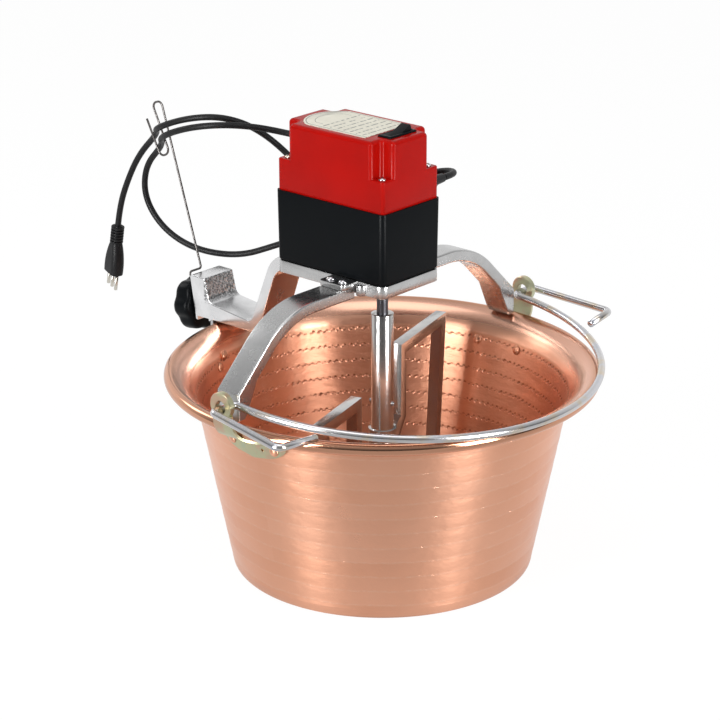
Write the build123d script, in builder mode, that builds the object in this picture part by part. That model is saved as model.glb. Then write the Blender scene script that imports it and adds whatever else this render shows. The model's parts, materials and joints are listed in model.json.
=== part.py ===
"""Electric polenta maker: a copper pot with a lift-off motor unit that drives a stirrer.

Millimetres. The origin is the centre of the pot's flat base and +Z is up. The two ears of
the pot lie on the X axis and the clamp arm of the motor unit reaches the rim on the +Y side.
"""
from math import acos, atan2, cos, degrees, pi, radians, sin, tan
import os

from build123d import *

os.makedirs("parts", exist_ok=True)

# Pot
POT_RIM_R = 230.0          # outer radius of the rolled rim
POT_HEIGHT = 221.0
POT_WALL = 2.0
POT_BASE_R = 159.5         # where the wall's line meets the base plane
POT_BASE_CORNER_R = 9.0
LIP_FLARE = 31.0           # how far the rim stands out beyond the top of the straight wall
LIP_RISE = 20.0            # how far it stands above the top of the straight wall
LIP_BREAK_R = POT_RIM_R - LIP_FLARE
LIP_BREAK_Z = POT_HEIGHT - LIP_RISE
RIM_ROLL_R = 6.5
RIM_WIRE_R = 4.4
RIM_ROLL_WALL = 1.9

# Ears of the pot
EAR_X = POT_RIM_R + 10.0   # middle plane of the eye
EAR_EYE_BORE_R = 7.6
EAR_EYE_R = 14.0
EAR_EYE_THICK = 7.0
EAR_EYE_Z = POT_HEIGHT + 23.5
EAR_PLATE_THICK = 3.0
EAR_PLATE_HALF = 44.0
EAR_PLATE_TOP_Z = LIP_BREAK_Z - 2.5
EAR_PLATE_DEPTH = 21.0
EAR_NECK_HALF = 13.0
EAR_WINDOW_R = 6.0
RIVET_R = 2.6
RIVET_HEAD_R = 5.2
RIVET_HEAD_RISE = 2.4
EAR_RIVET_Y = 28.5
EAR_RIVET_Z = LIP_BREAK_Z - 11.0

# Bail
ROD_R = 4.0
BAIL_HALF = EAR_X - 16.0   # half the distance between the bow's two sides
BAIL_STRAIGHT = 8.0        # straight length between the pivot line and the bow's arc
BAIL_TILT = 4.7            # degrees that the bow drops below level where it rests
BAIL_BEND_R = 7.0
TAIL_ROOT_X = EAR_X + 15.0
TAIL_END_X = EAR_X + 26.0
TAIL_REACH = 100.0
GRIP_END_X = EAR_X - 19.0
GRIP_SET = 8.0             # how much further the grip's end lies than its corner
ROD_PLAY = 0.3

# Motor unit, outside
UNIT_LENGTH = 149.6        # along Y
UNIT_WIDTH = 91.0
UNIT_SET_Y = 34.1          # centre of the unit, beyond the shaft's axis
PLATE_BOTTOM_Z = POT_HEIGHT + 91.4
PLATE_THICK = 13.0
PLATE_CORNER_R = 9.0
CASE_HEIGHT = 76.7
CASE_WALL = 3.0
CASE_CORNER_R = 6.0
COVER_HEIGHT = 72.9
COVER_INSET = 2.0
COVER_WALL = 2.6
COVER_EDGE_R = 4.5
NOTCH = 16.5               # square corner notches over the cover's screws
LEDGE_RISE = 34.0          # height of the notches' ledges above the seam
SCREW_SET = 8.3            # from the cover's faces to a screw's axis
SCREW_R = 2.0
SCREW_HEAD_R = 3.9
SCREW_HEAD_H = 2.6
LABEL_HALF = 34.0
LABEL_START_Y = -6.0
LABEL_END_Y = UNIT_SET_Y + UNIT_LENGTH / 2 - 12.9
LABEL_SHOULDER_Y = LABEL_END_Y - 22.0
LABEL_THICK = 0.6

# Switch
SWITCH_Y = -20.0
BEZEL_LENGTH = 41.0
BEZEL_WIDTH = 17.0
BEZEL_RISE = 2.2
SWITCH_DEPTH = 22.0
ROCKER_LENGTH = 33.0
ROCKER_WIDTH = 12.0
ROCKER_SWING = 12.0        # degrees to each side of the middle
ROCKER_PLAY = 0.35

# Side arms
ARM_Y = 12.0
ARM_HALF = 15.0
ARM_THICK = 13.0
ARM_ROOT_X = 46.0
ARM_BEND_R = 105.0
ARM_SLOPE = 44.0           # degrees
ARM_END_X = POT_RIM_R - 10.0
ARM_FLAT_X = ARM_END_X - 115.0
ARM_TOP_Z = PLATE_BOTTOM_Z + 7.2
FOOT_GAP = 0.3
LUG_REACH = 21.0
LUG_THICK = 5.6
ARM_BOLT_R = 3.0
ARM_BOLT_HEAD_R = 5.2
ARM_BOLT_HEAD_H = 3.4
ARM_BOLT_SPREAD = 17.0

# Clamp arm, block, jaw and knob
CLAMP_HALF = 22.5
CLAMP_LEAN = 9.0           # degrees that the screw's axis dips outwards
BLOCK_BOTTOM_Z = POT_HEIGHT - 2.5
BLOCK_TOP_Z = BLOCK_BOTTOM_Z + 50.5
JAW_GAP = 0.3
JAW_THICK = 4.0
JAW_HALF = 20.0
JAW_BOTTOM_Z = BLOCK_BOTTOM_Z - 5.0
JAW_TOP_Z = BLOCK_BOTTOM_Z + 20.7
JAW_TRAVEL = 5.0
CLAMP_SCREW_R = 4.0
SCREW_PLAY = 0.05
KNOB_R = 29.5
KNOB_THICK = 19.0
KNOB_LOBES = 7
KNOB_CENTRE_Z = BLOCK_BOTTOM_Z + 13.1  # height of the screw's axis where it leaves the block
KNOB_GAP = 3.4

# Cable hanger
WIRE_R = 1.2
HANGER_X = -2.0

# Drive
SHAFT_R = 6.0
SHAFT_BOTTOM_Z = 160.0
RUN_GAP = 0.05
BUSH_R = 10.0
SLEEVE_R = 12.0
SLEEVE_TOP_Z = PLATE_BOTTOM_Z - 34.4
STIRRER_ANGLE = 16.0       # degrees from the ear axis
STIRRER_BAR = 12.0
STIRRER_DEPTH = 14.0
STIRRER_FLOOR_GAP = 10.0
HUB_R = 15.0
HUB_TOP_Z = 150.0
PIN_Z = 178.0
PIN_R = 2.5

# Gear train: three equal reductions on axes that lie one behind the other
GEAR_MODULE = 1.0
WHEEL_TEETH = 54
PINION_TEETH = 12
GEAR_BACKLASH = 0.30
GEAR_WIDTH = 8.0
PINION_WIDTH = 11.0
GEAR_LEVELS = [PLATE_BOTTOM_Z + PLATE_THICK + rise for rise in (8.6, 22.1, 35.6)]
AXLE_R = 3.0
GEAR_PLATE_Z = GEAR_LEVELS[0] + 39.0
GEAR_PLATE_THICK = 3.0

# Motor
STATOR_R = 28.0
STATOR_BORE_R = 15.0
ROTOR_R = 14.5
STATOR_Z = GEAR_PLATE_Z + 11.0
STATOR_HEIGHT = 46.0
MOTOR_SHAFT_R = 2.5
MOTOR_TOP_Z = STATOR_Z + 62.0

# Cord and plug
CORD_R = 3.5
GLAND_Y = -28.0
GLAND_Z = PLATE_BOTTOM_Z + PLATE_THICK + CASE_HEIGHT + 14.4
GLAND_REACH = 20.0
PLUG_SLEEVE = 21.0
PIN_PITCH = 9.5
PIN_LENGTH = 19.0
PLUG_PIN_R = 2.0

# Fits and small sizes shared by several pieces
SEAT_PLAY = 0.02
RIVET_SEAT = 0.3           # room under an inner head, where the wall is hollow
WALL_RIVETS = (  # turn about the pot's axis in degrees, and height
    (102.6, LIP_BREAK_Z - 4.5),
    (106.2, LIP_BREAK_Z - 14.5),
)
PLATE_SCREW_R = 2.5
PLATE_SCREW_BITE = 12.0
ARM_BOLT_X = 57.0
ARM_EDGE_R = 2.0
CLAMP_TAB = 6.0
CLAMP_TAB_Y = UNIT_SET_Y + UNIT_LENGTH / 2 - 36.9
CLAMP_BOLT_Y = CLAMP_TAB_Y + 16.0
CLAMP_BOLT_DEPTH = 9.0
CLAMP_THICK = 11.3
CLAMP_EDGE_R = 1.2
CLAMP_UNDER_Z = POT_HEIGHT + 2.3
RISER_TOP_Y = CLAMP_TAB_Y + 63.6
RISER_FOOT_Y = RISER_TOP_Y + 34.7
TROUGH_Z = CLAMP_UNDER_Z + 11.6
TROUGH_END_Z = CLAMP_UNDER_Z + 18.9
BLOCK_INNER_Y = POT_RIM_R + 3.6
BLOCK_OUTER_Y = POT_RIM_R + 32.6
KNOB_EDGE_R = 3.0
CASE_DRAFT = 0.8
TOWER_R = 5.4
COVER_TOWER_R = 4.6
COVER_CORNER_R = 4.0
POST_X = 36.0
POST_R = 4.0
POST_SPREAD = 76.0
SCREW_BITE = 12.0
SWITCH_BODY_HALF = 18.3
SWITCH_BODY_WIDE = 14.4
ROCKER_ROOM = 8.5
ROCKER_PIN_R = 1.5
ROCKER_PIN_LENGTH = 13.7
GLAND_R = 5.5
PRESSURE_ANGLE = radians(25)
BUSH_TOP_Z = PLATE_BOTTOM_Z + PLATE_THICK + 5.6
COIL_RISE = 5.0
BRACKET_THICK = 2.5
TERMINAL_Y = -10.0
RELIEF_R = 5.2
RELIEF_RIB_R = 7.6
RELIEF_RIBS = 6
GATE_TOP_R = 153.0
GATE_FOOT_R = 131.0
GATES = (  # side, top height, inner leg, height of the leg's foot, height where it meets the hub
    (1, 232.0, 35.0, 152.0, 132.0),
    (-1, 206.0, 63.0, 128.0, 108.0),
)
PLUG_WIDE_WAY = (0.3, 0.954, 0)
PLUG_SECTIONS = ((0.0, 14.0, 12.0), (14.0, 23.0, 15.0), (38.0, 26.5, 15.5))
HOOK_POINTS = (  # y and z of the corners of the hanger above its foot
    (320.5, 452.0),
    (335.0, 447.0),
    (309.5, 394.7),
    (323.5, 387.8),
    (344.0, 427.6),
)
HANGER_RADII = (5.7, 5.7, 3.0, 3.0, 3.0, 6.0, 6.0, 7.0, 7.0)
CORD_ROUTE = (
    (65.5, -28, 416.5),
    (78, -28, 416.5),
    (92, -20, 415),
    (99, -4, 412),
    (98.5, 20, 405),
    (95.5, 55, 390),
    (91, 84, 374),
    (84, 118, 351),
    (76, 152, 326),
    (69, 183, 306),
    (62, 211, 293),
    (45, 251, 276),
    (29, 303, 276),
    (19, 344, 294),
    (15, 370, 327),
    (14, 366, 366),
    (12, 334, 395),
    (-15, 311, 412),
    (-18, 268, 430),
    (-5, 230, 439),
    (26, 209, 435),
    (55, 188, 428),
    (67, 152, 423),
    (71, 112, 418),
    (72.5, 73, 411),
    (74.5, 50, 385),
    (78, 55, 354),
    (81, 84, 337),
    (84, 122, 341),
    (84, 156, 358),
    (80, 186, 381),
    (70, 208, 404),
    (50, 219, 424),
    (24, 226, 440),
    (2, 244, 447),
    (-13, 277, 441),
    (-15, 318, 424),
    (11, 341, 409),
    (14, 376, 377),
    (13, 397, 339),
    (12, 408, 309),
    (12, 412, 287),
)

CASE_BOTTOM_Z = PLATE_BOTTOM_Z + PLATE_THICK
SEAM_Z = CASE_BOTTOM_Z + CASE_HEIGHT
TOP_Z = SEAM_Z + COVER_HEIGHT
LEDGE_Z = SEAM_Z + LEDGE_RISE
UNIT_END_Y = UNIT_SET_Y + UNIT_LENGTH / 2
ROLL_R = POT_RIM_R - RIM_ROLL_R
ROLL_Z = POT_HEIGHT - RIM_ROLL_R
WALL_SLOPE = (LIP_BREAK_R - POT_BASE_R) / LIP_BREAK_Z
WALL_ANGLE = degrees(atan2(LIP_BREAK_R - POT_BASE_R, LIP_BREAK_Z))
CENTRE_DISTANCE = GEAR_MODULE * (WHEEL_TEETH + PINION_TEETH) / 2


def wall_radius(z, outwards=0.0):
    """Outer radius of the pot's straight wall at a height, moved outwards square to the wall."""
    return POT_BASE_R + WALL_SLOPE * z + outwards / cos(radians(WALL_ANGLE))


def save(piece, name):
    """Label a finished piece and write it."""
    piece.part.label = name
    export_step(piece.part, f"parts/{name}.step")


def on_wall(turn, z, outwards=0.0):
    """A place on the pot's wall whose Z axis is square to the wall and points outwards."""
    outer_face = Location((wall_radius(z), 0, z), (0, 90 + WALL_ANGLE, 0))
    return Location((0, 0, 0), (0, 0, turn)) * outer_face * Location((0, 0, outwards))


def rivet(turn, z, held):
    """A round-headed rivet through the wall and a plate of thickness held outside it."""
    inside = -POT_WALL - RIVET_SEAT
    with Locations(on_wall(turn, z, inside)):
        Cylinder(RIVET_R, held - inside, align=(Align.CENTER, Align.CENTER, Align.MIN))
    with Locations(on_wall(turn, z, held), on_wall(turn, z, inside) * Location((0, 0, 0), (180, 0, 0))):
        Cone(RIVET_HEAD_R, RIVET_R, RIVET_HEAD_RISE, align=(Align.CENTER, Align.CENTER, Align.MIN))


ear_swing = degrees(atan2(EAR_RIVET_Y, wall_radius(EAR_RIVET_Z)))
EAR_RIVETS = [(turn, EAR_RIVET_Z) for turn in (-ear_swing, ear_swing, 180 - ear_swing, 180 + ear_swing)]

# Pot shell: base, straight wall, flared lip and a rim rolled outwards round a wire
lip_turn = 110.0
lip_top = (ROLL_R + RIM_ROLL_R * cos(radians(lip_turn)), ROLL_Z + RIM_ROLL_R * sin(radians(lip_turn)))
inner_break = (LIP_BREAK_R - POT_WALL * cos(radians(WALL_ANGLE)) - 0.1, LIP_BREAK_Z + 0.9)
with BuildPart() as pot_shell:
    with BuildSketch(Plane.XZ):
        with BuildLine():
            Polyline((0, 0), (POT_BASE_R, 0), (LIP_BREAK_R, LIP_BREAK_Z))
            under_lip = ThreePointArc(
                (LIP_BREAK_R, LIP_BREAK_Z),
                (LIP_BREAK_R + 11.0, LIP_BREAK_Z + 8.6),
                (lip_top[0] - 0.4, lip_top[1] - POT_WALL),
            )
            Line(under_lip @ 1, lip_top)
            over_lip = ThreePointArc(lip_top, (LIP_BREAK_R + 9.6, LIP_BREAK_Z + 10.4), inner_break)
            Polyline(
                over_lip @ 1,
                (POT_BASE_R - POT_WALL / cos(radians(WALL_ANGLE)) + WALL_SLOPE * POT_WALL, POT_WALL),
                (0, POT_WALL),
                (0, 0),
            )
        make_face()
        fillet(vertices().sort_by_distance(Vector(POT_BASE_R, 0, 0))[0], POT_BASE_CORNER_R)
        fillet(
            vertices().sort_by_distance(Vector(POT_BASE_R - POT_WALL, 0, POT_WALL))[0],
            POT_BASE_CORNER_R - POT_WALL,
        )
        with Locations((ROLL_R, ROLL_Z)):
            Circle(RIM_ROLL_R)
            Circle(RIM_ROLL_R - RIM_ROLL_WALL, mode=Mode.SUBTRACT)
        with Locations(Location((ROLL_R, ROLL_Z), 215)):
            Rectangle(RIM_ROLL_R * 2, 1.2, align=(Align.MIN, Align.CENTER), mode=Mode.SUBTRACT)
    revolve(axis=Axis.Z)
    for turn, z in (*EAR_RIVETS, *WALL_RIVETS):
        with Locations(on_wall(turn, z)):
            Cylinder(RIVET_R + RUN_GAP, 4 * POT_WALL, mode=Mode.SUBTRACT)
save(pot_shell, "pot_shell")

with BuildPart() as rim_wire:
    with BuildSketch(Plane.XZ):
        with Locations((ROLL_R, ROLL_Z)):
            Circle(RIM_WIRE_R)
    revolve(axis=Axis.Z)
save(rim_wire, "rim_wire")

# Ears: a half-moon plate on the wall, a neck that passes under the rim, and a thick eye
seat = 0.05
for name, side in (("ear_plate_left", -1), ("ear_plate_right", 1)):
    with BuildPart() as ear_plate:
        low_z = EAR_PLATE_TOP_Z - EAR_PLATE_DEPTH - 1
        with BuildSketch(Plane.XZ):
            with BuildLine():
                Polyline(
                    (wall_radius(low_z, seat), low_z),
                    (wall_radius(EAR_PLATE_TOP_Z, seat), EAR_PLATE_TOP_Z),
                    (wall_radius(EAR_PLATE_TOP_Z, EAR_PLATE_THICK), EAR_PLATE_TOP_Z),
                    (wall_radius(low_z, EAR_PLATE_THICK), low_z),
                    close=True,
                )
            make_face()
        revolve(axis=Axis.Z)
        with BuildSketch(Plane.YZ):
            with BuildLine():
                ThreePointArc(
                    (-EAR_PLATE_HALF, EAR_PLATE_TOP_Z),
                    (0, EAR_PLATE_TOP_Z - EAR_PLATE_DEPTH),
                    (EAR_PLATE_HALF, EAR_PLATE_TOP_Z),
                )
                Line((EAR_PLATE_HALF, EAR_PLATE_TOP_Z), (-EAR_PLATE_HALF, EAR_PLATE_TOP_Z))
            make_face()
        extrude(amount=side * POT_RIM_R, mode=Mode.INTERSECT)
        half = EAR_PLATE_THICK / 2
        neck_root_z = EAR_PLATE_TOP_Z - 10
        with BuildSketch(Plane.XZ):
            with BuildLine():
                Polyline(
                    (side * wall_radius(neck_root_z, seat), neck_root_z),
                    (side * wall_radius(EAR_PLATE_TOP_Z - 1, seat), EAR_PLATE_TOP_Z - 1),
                    (side * (EAR_X - half), LIP_BREAK_Z + 2.5),
                    (side * (EAR_X - half), EAR_EYE_Z),
                    (side * (EAR_X + half), EAR_EYE_Z),
                    (side * (EAR_X + half), LIP_BREAK_Z),
                    (side * wall_radius(EAR_PLATE_TOP_Z - 4, EAR_PLATE_THICK), EAR_PLATE_TOP_Z - 4),
                    (side * wall_radius(neck_root_z, EAR_PLATE_THICK), neck_root_z),
                    close=True,
                )
            make_face()
        extrude(amount=EAR_NECK_HALF, both=True)
        with Locations(Location((side * EAR_X, 0, EAR_EYE_Z), (0, 90, 0))):
            Cylinder(EAR_EYE_R, EAR_EYE_THICK)
            Cylinder(EAR_EYE_BORE_R, EAR_EYE_THICK * 2, mode=Mode.SUBTRACT)
        with Locations(on_wall(0 if side > 0 else 180, EAR_PLATE_TOP_Z - 12.5)):
            Cylinder(EAR_WINDOW_R, 4 * EAR_PLATE_THICK, mode=Mode.SUBTRACT)
        for turn, z in EAR_RIVETS:
            with Locations(on_wall(turn, z)):
                Cylinder(RIVET_R + RUN_GAP, 4 * EAR_PLATE_THICK, mode=Mode.SUBTRACT)
    save(ear_plate, name)

with BuildPart() as ear_rivets:
    for turn, z in EAR_RIVETS:
        rivet(turn, z, EAR_PLATE_THICK)
save(ear_rivets, "ear_rivets")

with BuildPart() as wall_rivets:
    for turn, z in WALL_RIVETS:
        rivet(turn, z, 0.0)
save(wall_rivets, "wall_rivets")

# Bail: one bent rod, flat in a plane that is hinged on the line of the eyes
BAIL_Z = EAR_EYE_Z - (EAR_EYE_BORE_R - ROD_R - ROD_PLAY)
tilt = radians(BAIL_TILT)
bail_plane = Plane(origin=(0, 0, BAIL_Z), x_dir=(1, 0, 0), z_dir=(0, -sin(tilt), cos(tilt)))
half_bail = (
    (GRIP_END_X, -TAIL_REACH - GRIP_SET),
    (TAIL_END_X, -TAIL_REACH),
    (TAIL_ROOT_X, 0),
    (BAIL_HALF, 0),
    (BAIL_HALF, -BAIL_STRAIGHT),
)
with BuildPart() as bail_rod:
    with BuildLine(bail_plane) as bail_path:
        FilletPolyline(*half_bail, radius=BAIL_BEND_R)
        ThreePointArc(
            (BAIL_HALF, -BAIL_STRAIGHT),
            (0, -BAIL_STRAIGHT - BAIL_HALF),
            (-BAIL_HALF, -BAIL_STRAIGHT),
        )
        FilletPolyline(*[(-x, y) for x, y in reversed(half_bail)], radius=BAIL_BEND_R)
    with BuildSketch(Plane(origin=bail_path.line @ 0, z_dir=bail_path.line % 0)):
        Circle(ROD_R)
    sweep()
save(bail_rod, "bail_rod")

# Base plate of the motor unit: a casting under the case, with a lug over each side arm
screw_x = UNIT_WIDTH / 2 - COVER_INSET - SCREW_SET
screw_y = UNIT_LENGTH / 2 - COVER_INSET - SCREW_SET
with BuildPart() as base_plate:
    with BuildSketch(Plane.XY.offset(PLATE_BOTTOM_Z)):
        with Locations((0, UNIT_SET_Y)):
            RectangleRounded(UNIT_WIDTH, UNIT_LENGTH, PLATE_CORNER_R)
    extrude(amount=PLATE_THICK)
    with BuildSketch(Plane.XY.offset(CASE_BOTTOM_Z - LUG_THICK)):
        with Locations((0, ARM_Y)):
            RectangleRounded(UNIT_WIDTH + 2 * LUG_REACH, 2 * ARM_HALF + 4, 4)
    extrude(amount=LUG_THICK)
    for side in (-1, 1):
        with Locations((side * UNIT_WIDTH / 2, ARM_Y - ARM_HALF - 8.5, PLATE_BOTTOM_Z)):
            Cylinder(6, PLATE_THICK - 2, align=(Align.CENTER, Align.CENTER, Align.MIN))
    with BuildSketch(Plane.XY.offset(PLATE_BOTTOM_Z)):
        with Locations((0, ARM_Y + 2)):
            RectangleRounded(UNIT_WIDTH - 24, 64, 8)
        Circle(BUSH_R + 7, mode=Mode.SUBTRACT)
    extrude(amount=PLATE_THICK - 8, mode=Mode.SUBTRACT)
    with Locations((0, 0, PLATE_BOTTOM_Z)):
        Cylinder(BUSH_R + SEAT_PLAY, 4 * PLATE_THICK, mode=Mode.SUBTRACT)
    with Locations((0, UNIT_SET_Y, PLATE_BOTTOM_Z)):
        with GridLocations(2 * screw_x, 2 * screw_y, 2, 2):
            Cylinder(PLATE_SCREW_R + SEAT_PLAY, 4 * PLATE_THICK, mode=Mode.SUBTRACT)
    with Locations((0, ARM_Y, CASE_BOTTOM_Z)):
        with GridLocations(2 * ARM_BOLT_X, ARM_BOLT_SPREAD, 2, 2):
            Cylinder(ARM_BOLT_R + SEAT_PLAY, 4 * PLATE_THICK, mode=Mode.SUBTRACT)
    with Locations((0, CLAMP_BOLT_Y, PLATE_BOTTOM_Z)):
        with GridLocations(CLAMP_HALF, 1, 2, 1):
            Cylinder(ARM_BOLT_R + SEAT_PLAY, CLAMP_BOLT_DEPTH * 2, mode=Mode.SUBTRACT)
save(base_plate, "base_plate")

# Side arms: flat at the root, one bend, then straight down to a foot that stands on the rim
slope = radians(ARM_SLOPE)
foot_z = POT_HEIGHT + FOOT_GAP


def bend(x, z, radius, turn):
    """The point reached by turning down from level through an angle, along an arc."""
    return (x + radius * sin(turn), z - radius * (1 - cos(turn)))


for name, side in (("arm_left", -1), ("arm_right", 1)):
    root_z = ARM_TOP_Z - ARM_THICK
    top_mid = bend(ARM_FLAT_X, ARM_TOP_Z, ARM_BEND_R, slope / 2)
    top_end = bend(ARM_FLAT_X, ARM_TOP_Z, ARM_BEND_R, slope)
    low_mid = bend(ARM_FLAT_X, root_z, ARM_BEND_R - ARM_THICK, slope / 2)
    low_end = bend(ARM_FLAT_X, root_z, ARM_BEND_R - ARM_THICK, slope)
    heel_x = ARM_END_X - 28
    heel = (heel_x, low_end[1] - (heel_x - low_end[0]) * tan(slope))
    toe = (ARM_END_X, top_end[1] - (ARM_END_X - top_end[0]) * tan(slope))
    with BuildPart() as arm:
        with BuildSketch(Plane.XZ.offset(-ARM_Y)):
            with BuildLine():
                Line((side * ARM_ROOT_X, ARM_TOP_Z), (side * ARM_FLAT_X, ARM_TOP_Z))
                ThreePointArc(
                    (side * ARM_FLAT_X, ARM_TOP_Z),
                    (side * top_mid[0], top_mid[1]),
                    (side * top_end[0], top_end[1]),
                )
                Polyline(
                    (side * top_end[0], top_end[1]),
                    (side * toe[0], toe[1]),
                    (side * ARM_END_X, foot_z),
                    (side * (ARM_END_X - 9), foot_z),
                    (side * (ARM_END_X - 14), foot_z + 7),
                    (side * heel[0], heel[1]),
                    (side * low_end[0], low_end[1]),
                )
                ThreePointArc(
                    (side * low_end[0], low_end[1]),
                    (side * low_mid[0], low_mid[1]),
                    (side * ARM_FLAT_X, root_z),
                )
                Polyline(
                    (side * ARM_FLAT_X, root_z),
                    (side * ARM_ROOT_X, root_z),
                    (side * ARM_ROOT_X, ARM_TOP_Z),
                )
            make_face()
        extrude(amount=ARM_HALF, both=True)
        side_edges = edges().group_by(Axis.Y)
        fillet(side_edges[0] + side_edges[-1], ARM_EDGE_R)
        with Locations((side * ARM_BOLT_X, ARM_Y, ARM_TOP_Z)):
            with GridLocations(1, ARM_BOLT_SPREAD, 1, 2):
                Cylinder(ARM_BOLT_R + SEAT_PLAY, 4 * ARM_THICK, mode=Mode.SUBTRACT)
    save(arm, name)

with BuildPart() as arm_bolts:
    with Locations((0, ARM_Y, CASE_BOTTOM_Z)):
        with GridLocations(2 * ARM_BOLT_X, ARM_BOLT_SPREAD, 2, 2):
            Cylinder(ARM_BOLT_HEAD_R, ARM_BOLT_HEAD_H, align=(Align.CENTER, Align.CENTER, Align.MIN))
            Cylinder(ARM_BOLT_R, LUG_THICK + ARM_THICK, align=(Align.CENTER, Align.CENTER, Align.MAX))
save(arm_bolts, "arm_bolts")

# Clamp arm: a strip that drops from the plate, runs out over the rim and ends in a block
tab_z = PLATE_BOTTOM_Z - CLAMP_TAB
lean = radians(CLAMP_LEAN)
block_foot_y = BLOCK_OUTER_Y - (BLOCK_TOP_Z - BLOCK_BOTTOM_Z) * tan(lean)
face_y = BLOCK_OUTER_Y - (BLOCK_TOP_Z - KNOB_CENTRE_Z) * tan(lean)
jaw_y = POT_RIM_R + JAW_GAP
clamp_corners = (  # y and z of each corner of the clamp arm's side view, and its radius
    ((UNIT_END_Y + seat, PLATE_BOTTOM_Z), 0),
    ((UNIT_END_Y + seat, CASE_BOTTOM_Z - 3), 0),
    ((RISER_TOP_Y, CASE_BOTTOM_Z - 3), 37),
    ((RISER_FOOT_Y, TROUGH_Z), 10),
    ((BLOCK_INNER_Y, TROUGH_END_Z), 10),
    ((BLOCK_INNER_Y + 6.5, BLOCK_TOP_Z), 1.5),
    ((BLOCK_OUTER_Y, BLOCK_TOP_Z), 2.5),
    ((block_foot_y, BLOCK_BOTTOM_Z), 1.5),
    ((jaw_y + 7, BLOCK_BOTTOM_Z), 0),
    ((jaw_y, CLAMP_UNDER_Z), 0),
    ((RISER_FOOT_Y - CLAMP_THICK, CLAMP_UNDER_Z), 17),
    ((RISER_TOP_Y - CLAMP_THICK + 5.5, tab_z), 26),
    ((CLAMP_TAB_Y, tab_z), 1),
    ((CLAMP_TAB_Y, PLATE_BOTTOM_Z), 0),
)
with BuildPart() as clamp_arm:
    with BuildSketch(Plane.YZ):
        with BuildLine():
            FilletPolyline(
                *[place for place, radius in clamp_corners],
                radius=[radius for place, radius in clamp_corners],
                close=True,
            )
        make_face()
    extrude(amount=CLAMP_HALF, both=True)
    side_edges = edges().group_by(Axis.X)
    fillet(side_edges[0] + side_edges[-1], CLAMP_EDGE_R)
    with Locations((0, jaw_y - 0.4, 0)):
        Box(
            2 * JAW_HALF + 0.6,
            JAW_THICK + JAW_TRAVEL + 1,
            JAW_TOP_Z + 1.2,
            align=(Align.CENTER, Align.MIN, Align.MIN),
            mode=Mode.SUBTRACT,
        )
    with Locations((0, jaw_y + JAW_THICK, BLOCK_BOTTOM_Z - 5)):
        Box(
            3 * CLAMP_HALF,
            block_foot_y - jaw_y - JAW_THICK - 3,
            10,
            align=(Align.CENTER, Align.MIN, Align.MIN),
            mode=Mode.SUBTRACT,
        )
    with Locations(Location((0, face_y, KNOB_CENTRE_Z), (-90 - CLAMP_LEAN, 0, 0))):
        Cylinder(CLAMP_SCREW_R + SCREW_PLAY, BLOCK_OUTER_Y - jaw_y + 4, mode=Mode.SUBTRACT)
    with Locations((0, CLAMP_BOLT_Y, PLATE_BOTTOM_Z)):
        with GridLocations(CLAMP_HALF, 1, 2, 1):
            Cylinder(ARM_BOLT_R + SEAT_PLAY, 4 * CLAMP_TAB, mode=Mode.SUBTRACT)
save(clamp_arm, "clamp_arm")

with BuildPart() as clamp_bolts:
    with Locations((0, CLAMP_BOLT_Y, tab_z)):
        with GridLocations(CLAMP_HALF, 1, 2, 1):
            Cylinder(ARM_BOLT_HEAD_R, ARM_BOLT_HEAD_H, align=(Align.CENTER, Align.CENTER, Align.MAX))
            Cylinder(
                ARM_BOLT_R,
                CLAMP_TAB + CLAMP_BOLT_DEPTH - 0.5,
                align=(Align.CENTER, Align.CENTER, Align.MIN),
            )
save(clamp_bolts, "clamp_bolts")

# Knob, screw and jaw on one axis that dips outwards with the block's face
knob_axis = Vector(0, cos(lean), -sin(lean))
face_point = Vector(0, face_y, KNOB_CENTRE_Z)
tip_reach = (face_y - jaw_y - JAW_THICK) / cos(lean) - 0.3
knob_plane = Plane(origin=face_point + knob_axis * KNOB_GAP, x_dir=(1, 0, 0), z_dir=knob_axis)
with BuildPart() as clamp_knob:
    with BuildSketch(knob_plane):
        Circle(KNOB_R)
        with PolarLocations(KNOB_R + 7.5, KNOB_LOBES):
            Circle(11, mode=Mode.SUBTRACT)
        fillet(vertices(), 2.5)
    extrude(amount=KNOB_THICK)
    ends = faces().filter_by(GeomType.PLANE).sort_by(Axis.Y)
    fillet(ends[-1].outer_wire().edges(), KNOB_EDGE_R)
    with BuildSketch(knob_plane):
        Circle(CLAMP_SCREW_R + SEAT_PLAY)
    extrude(amount=KNOB_THICK - 4, mode=Mode.SUBTRACT)
save(clamp_knob, "clamp_knob")

with BuildPart() as clamp_screw:
    with BuildSketch(Plane(origin=face_point - knob_axis * (tip_reach - 2), z_dir=knob_axis)):
        Circle(CLAMP_SCREW_R)
    extrude(amount=tip_reach - 2 + KNOB_GAP + KNOB_THICK - 4.5)
    with BuildSketch(Plane(origin=face_point - knob_axis * (tip_reach - 2), z_dir=-knob_axis)):
        Circle(CLAMP_SCREW_R)
    extrude(amount=2, taper=45)
save(clamp_screw, "clamp_screw")

with BuildPart() as clamp_jaw:
    with Locations((0, jaw_y, JAW_BOTTOM_Z)):
        Box(2 * JAW_HALF, JAW_THICK, JAW_TOP_Z - JAW_BOTTOM_Z, align=(Align.CENTER, Align.MIN, Align.MIN))
    chamfer(edges().filter_by(Axis.Y), 2)
save(clamp_jaw, "clamp_jaw")

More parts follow.
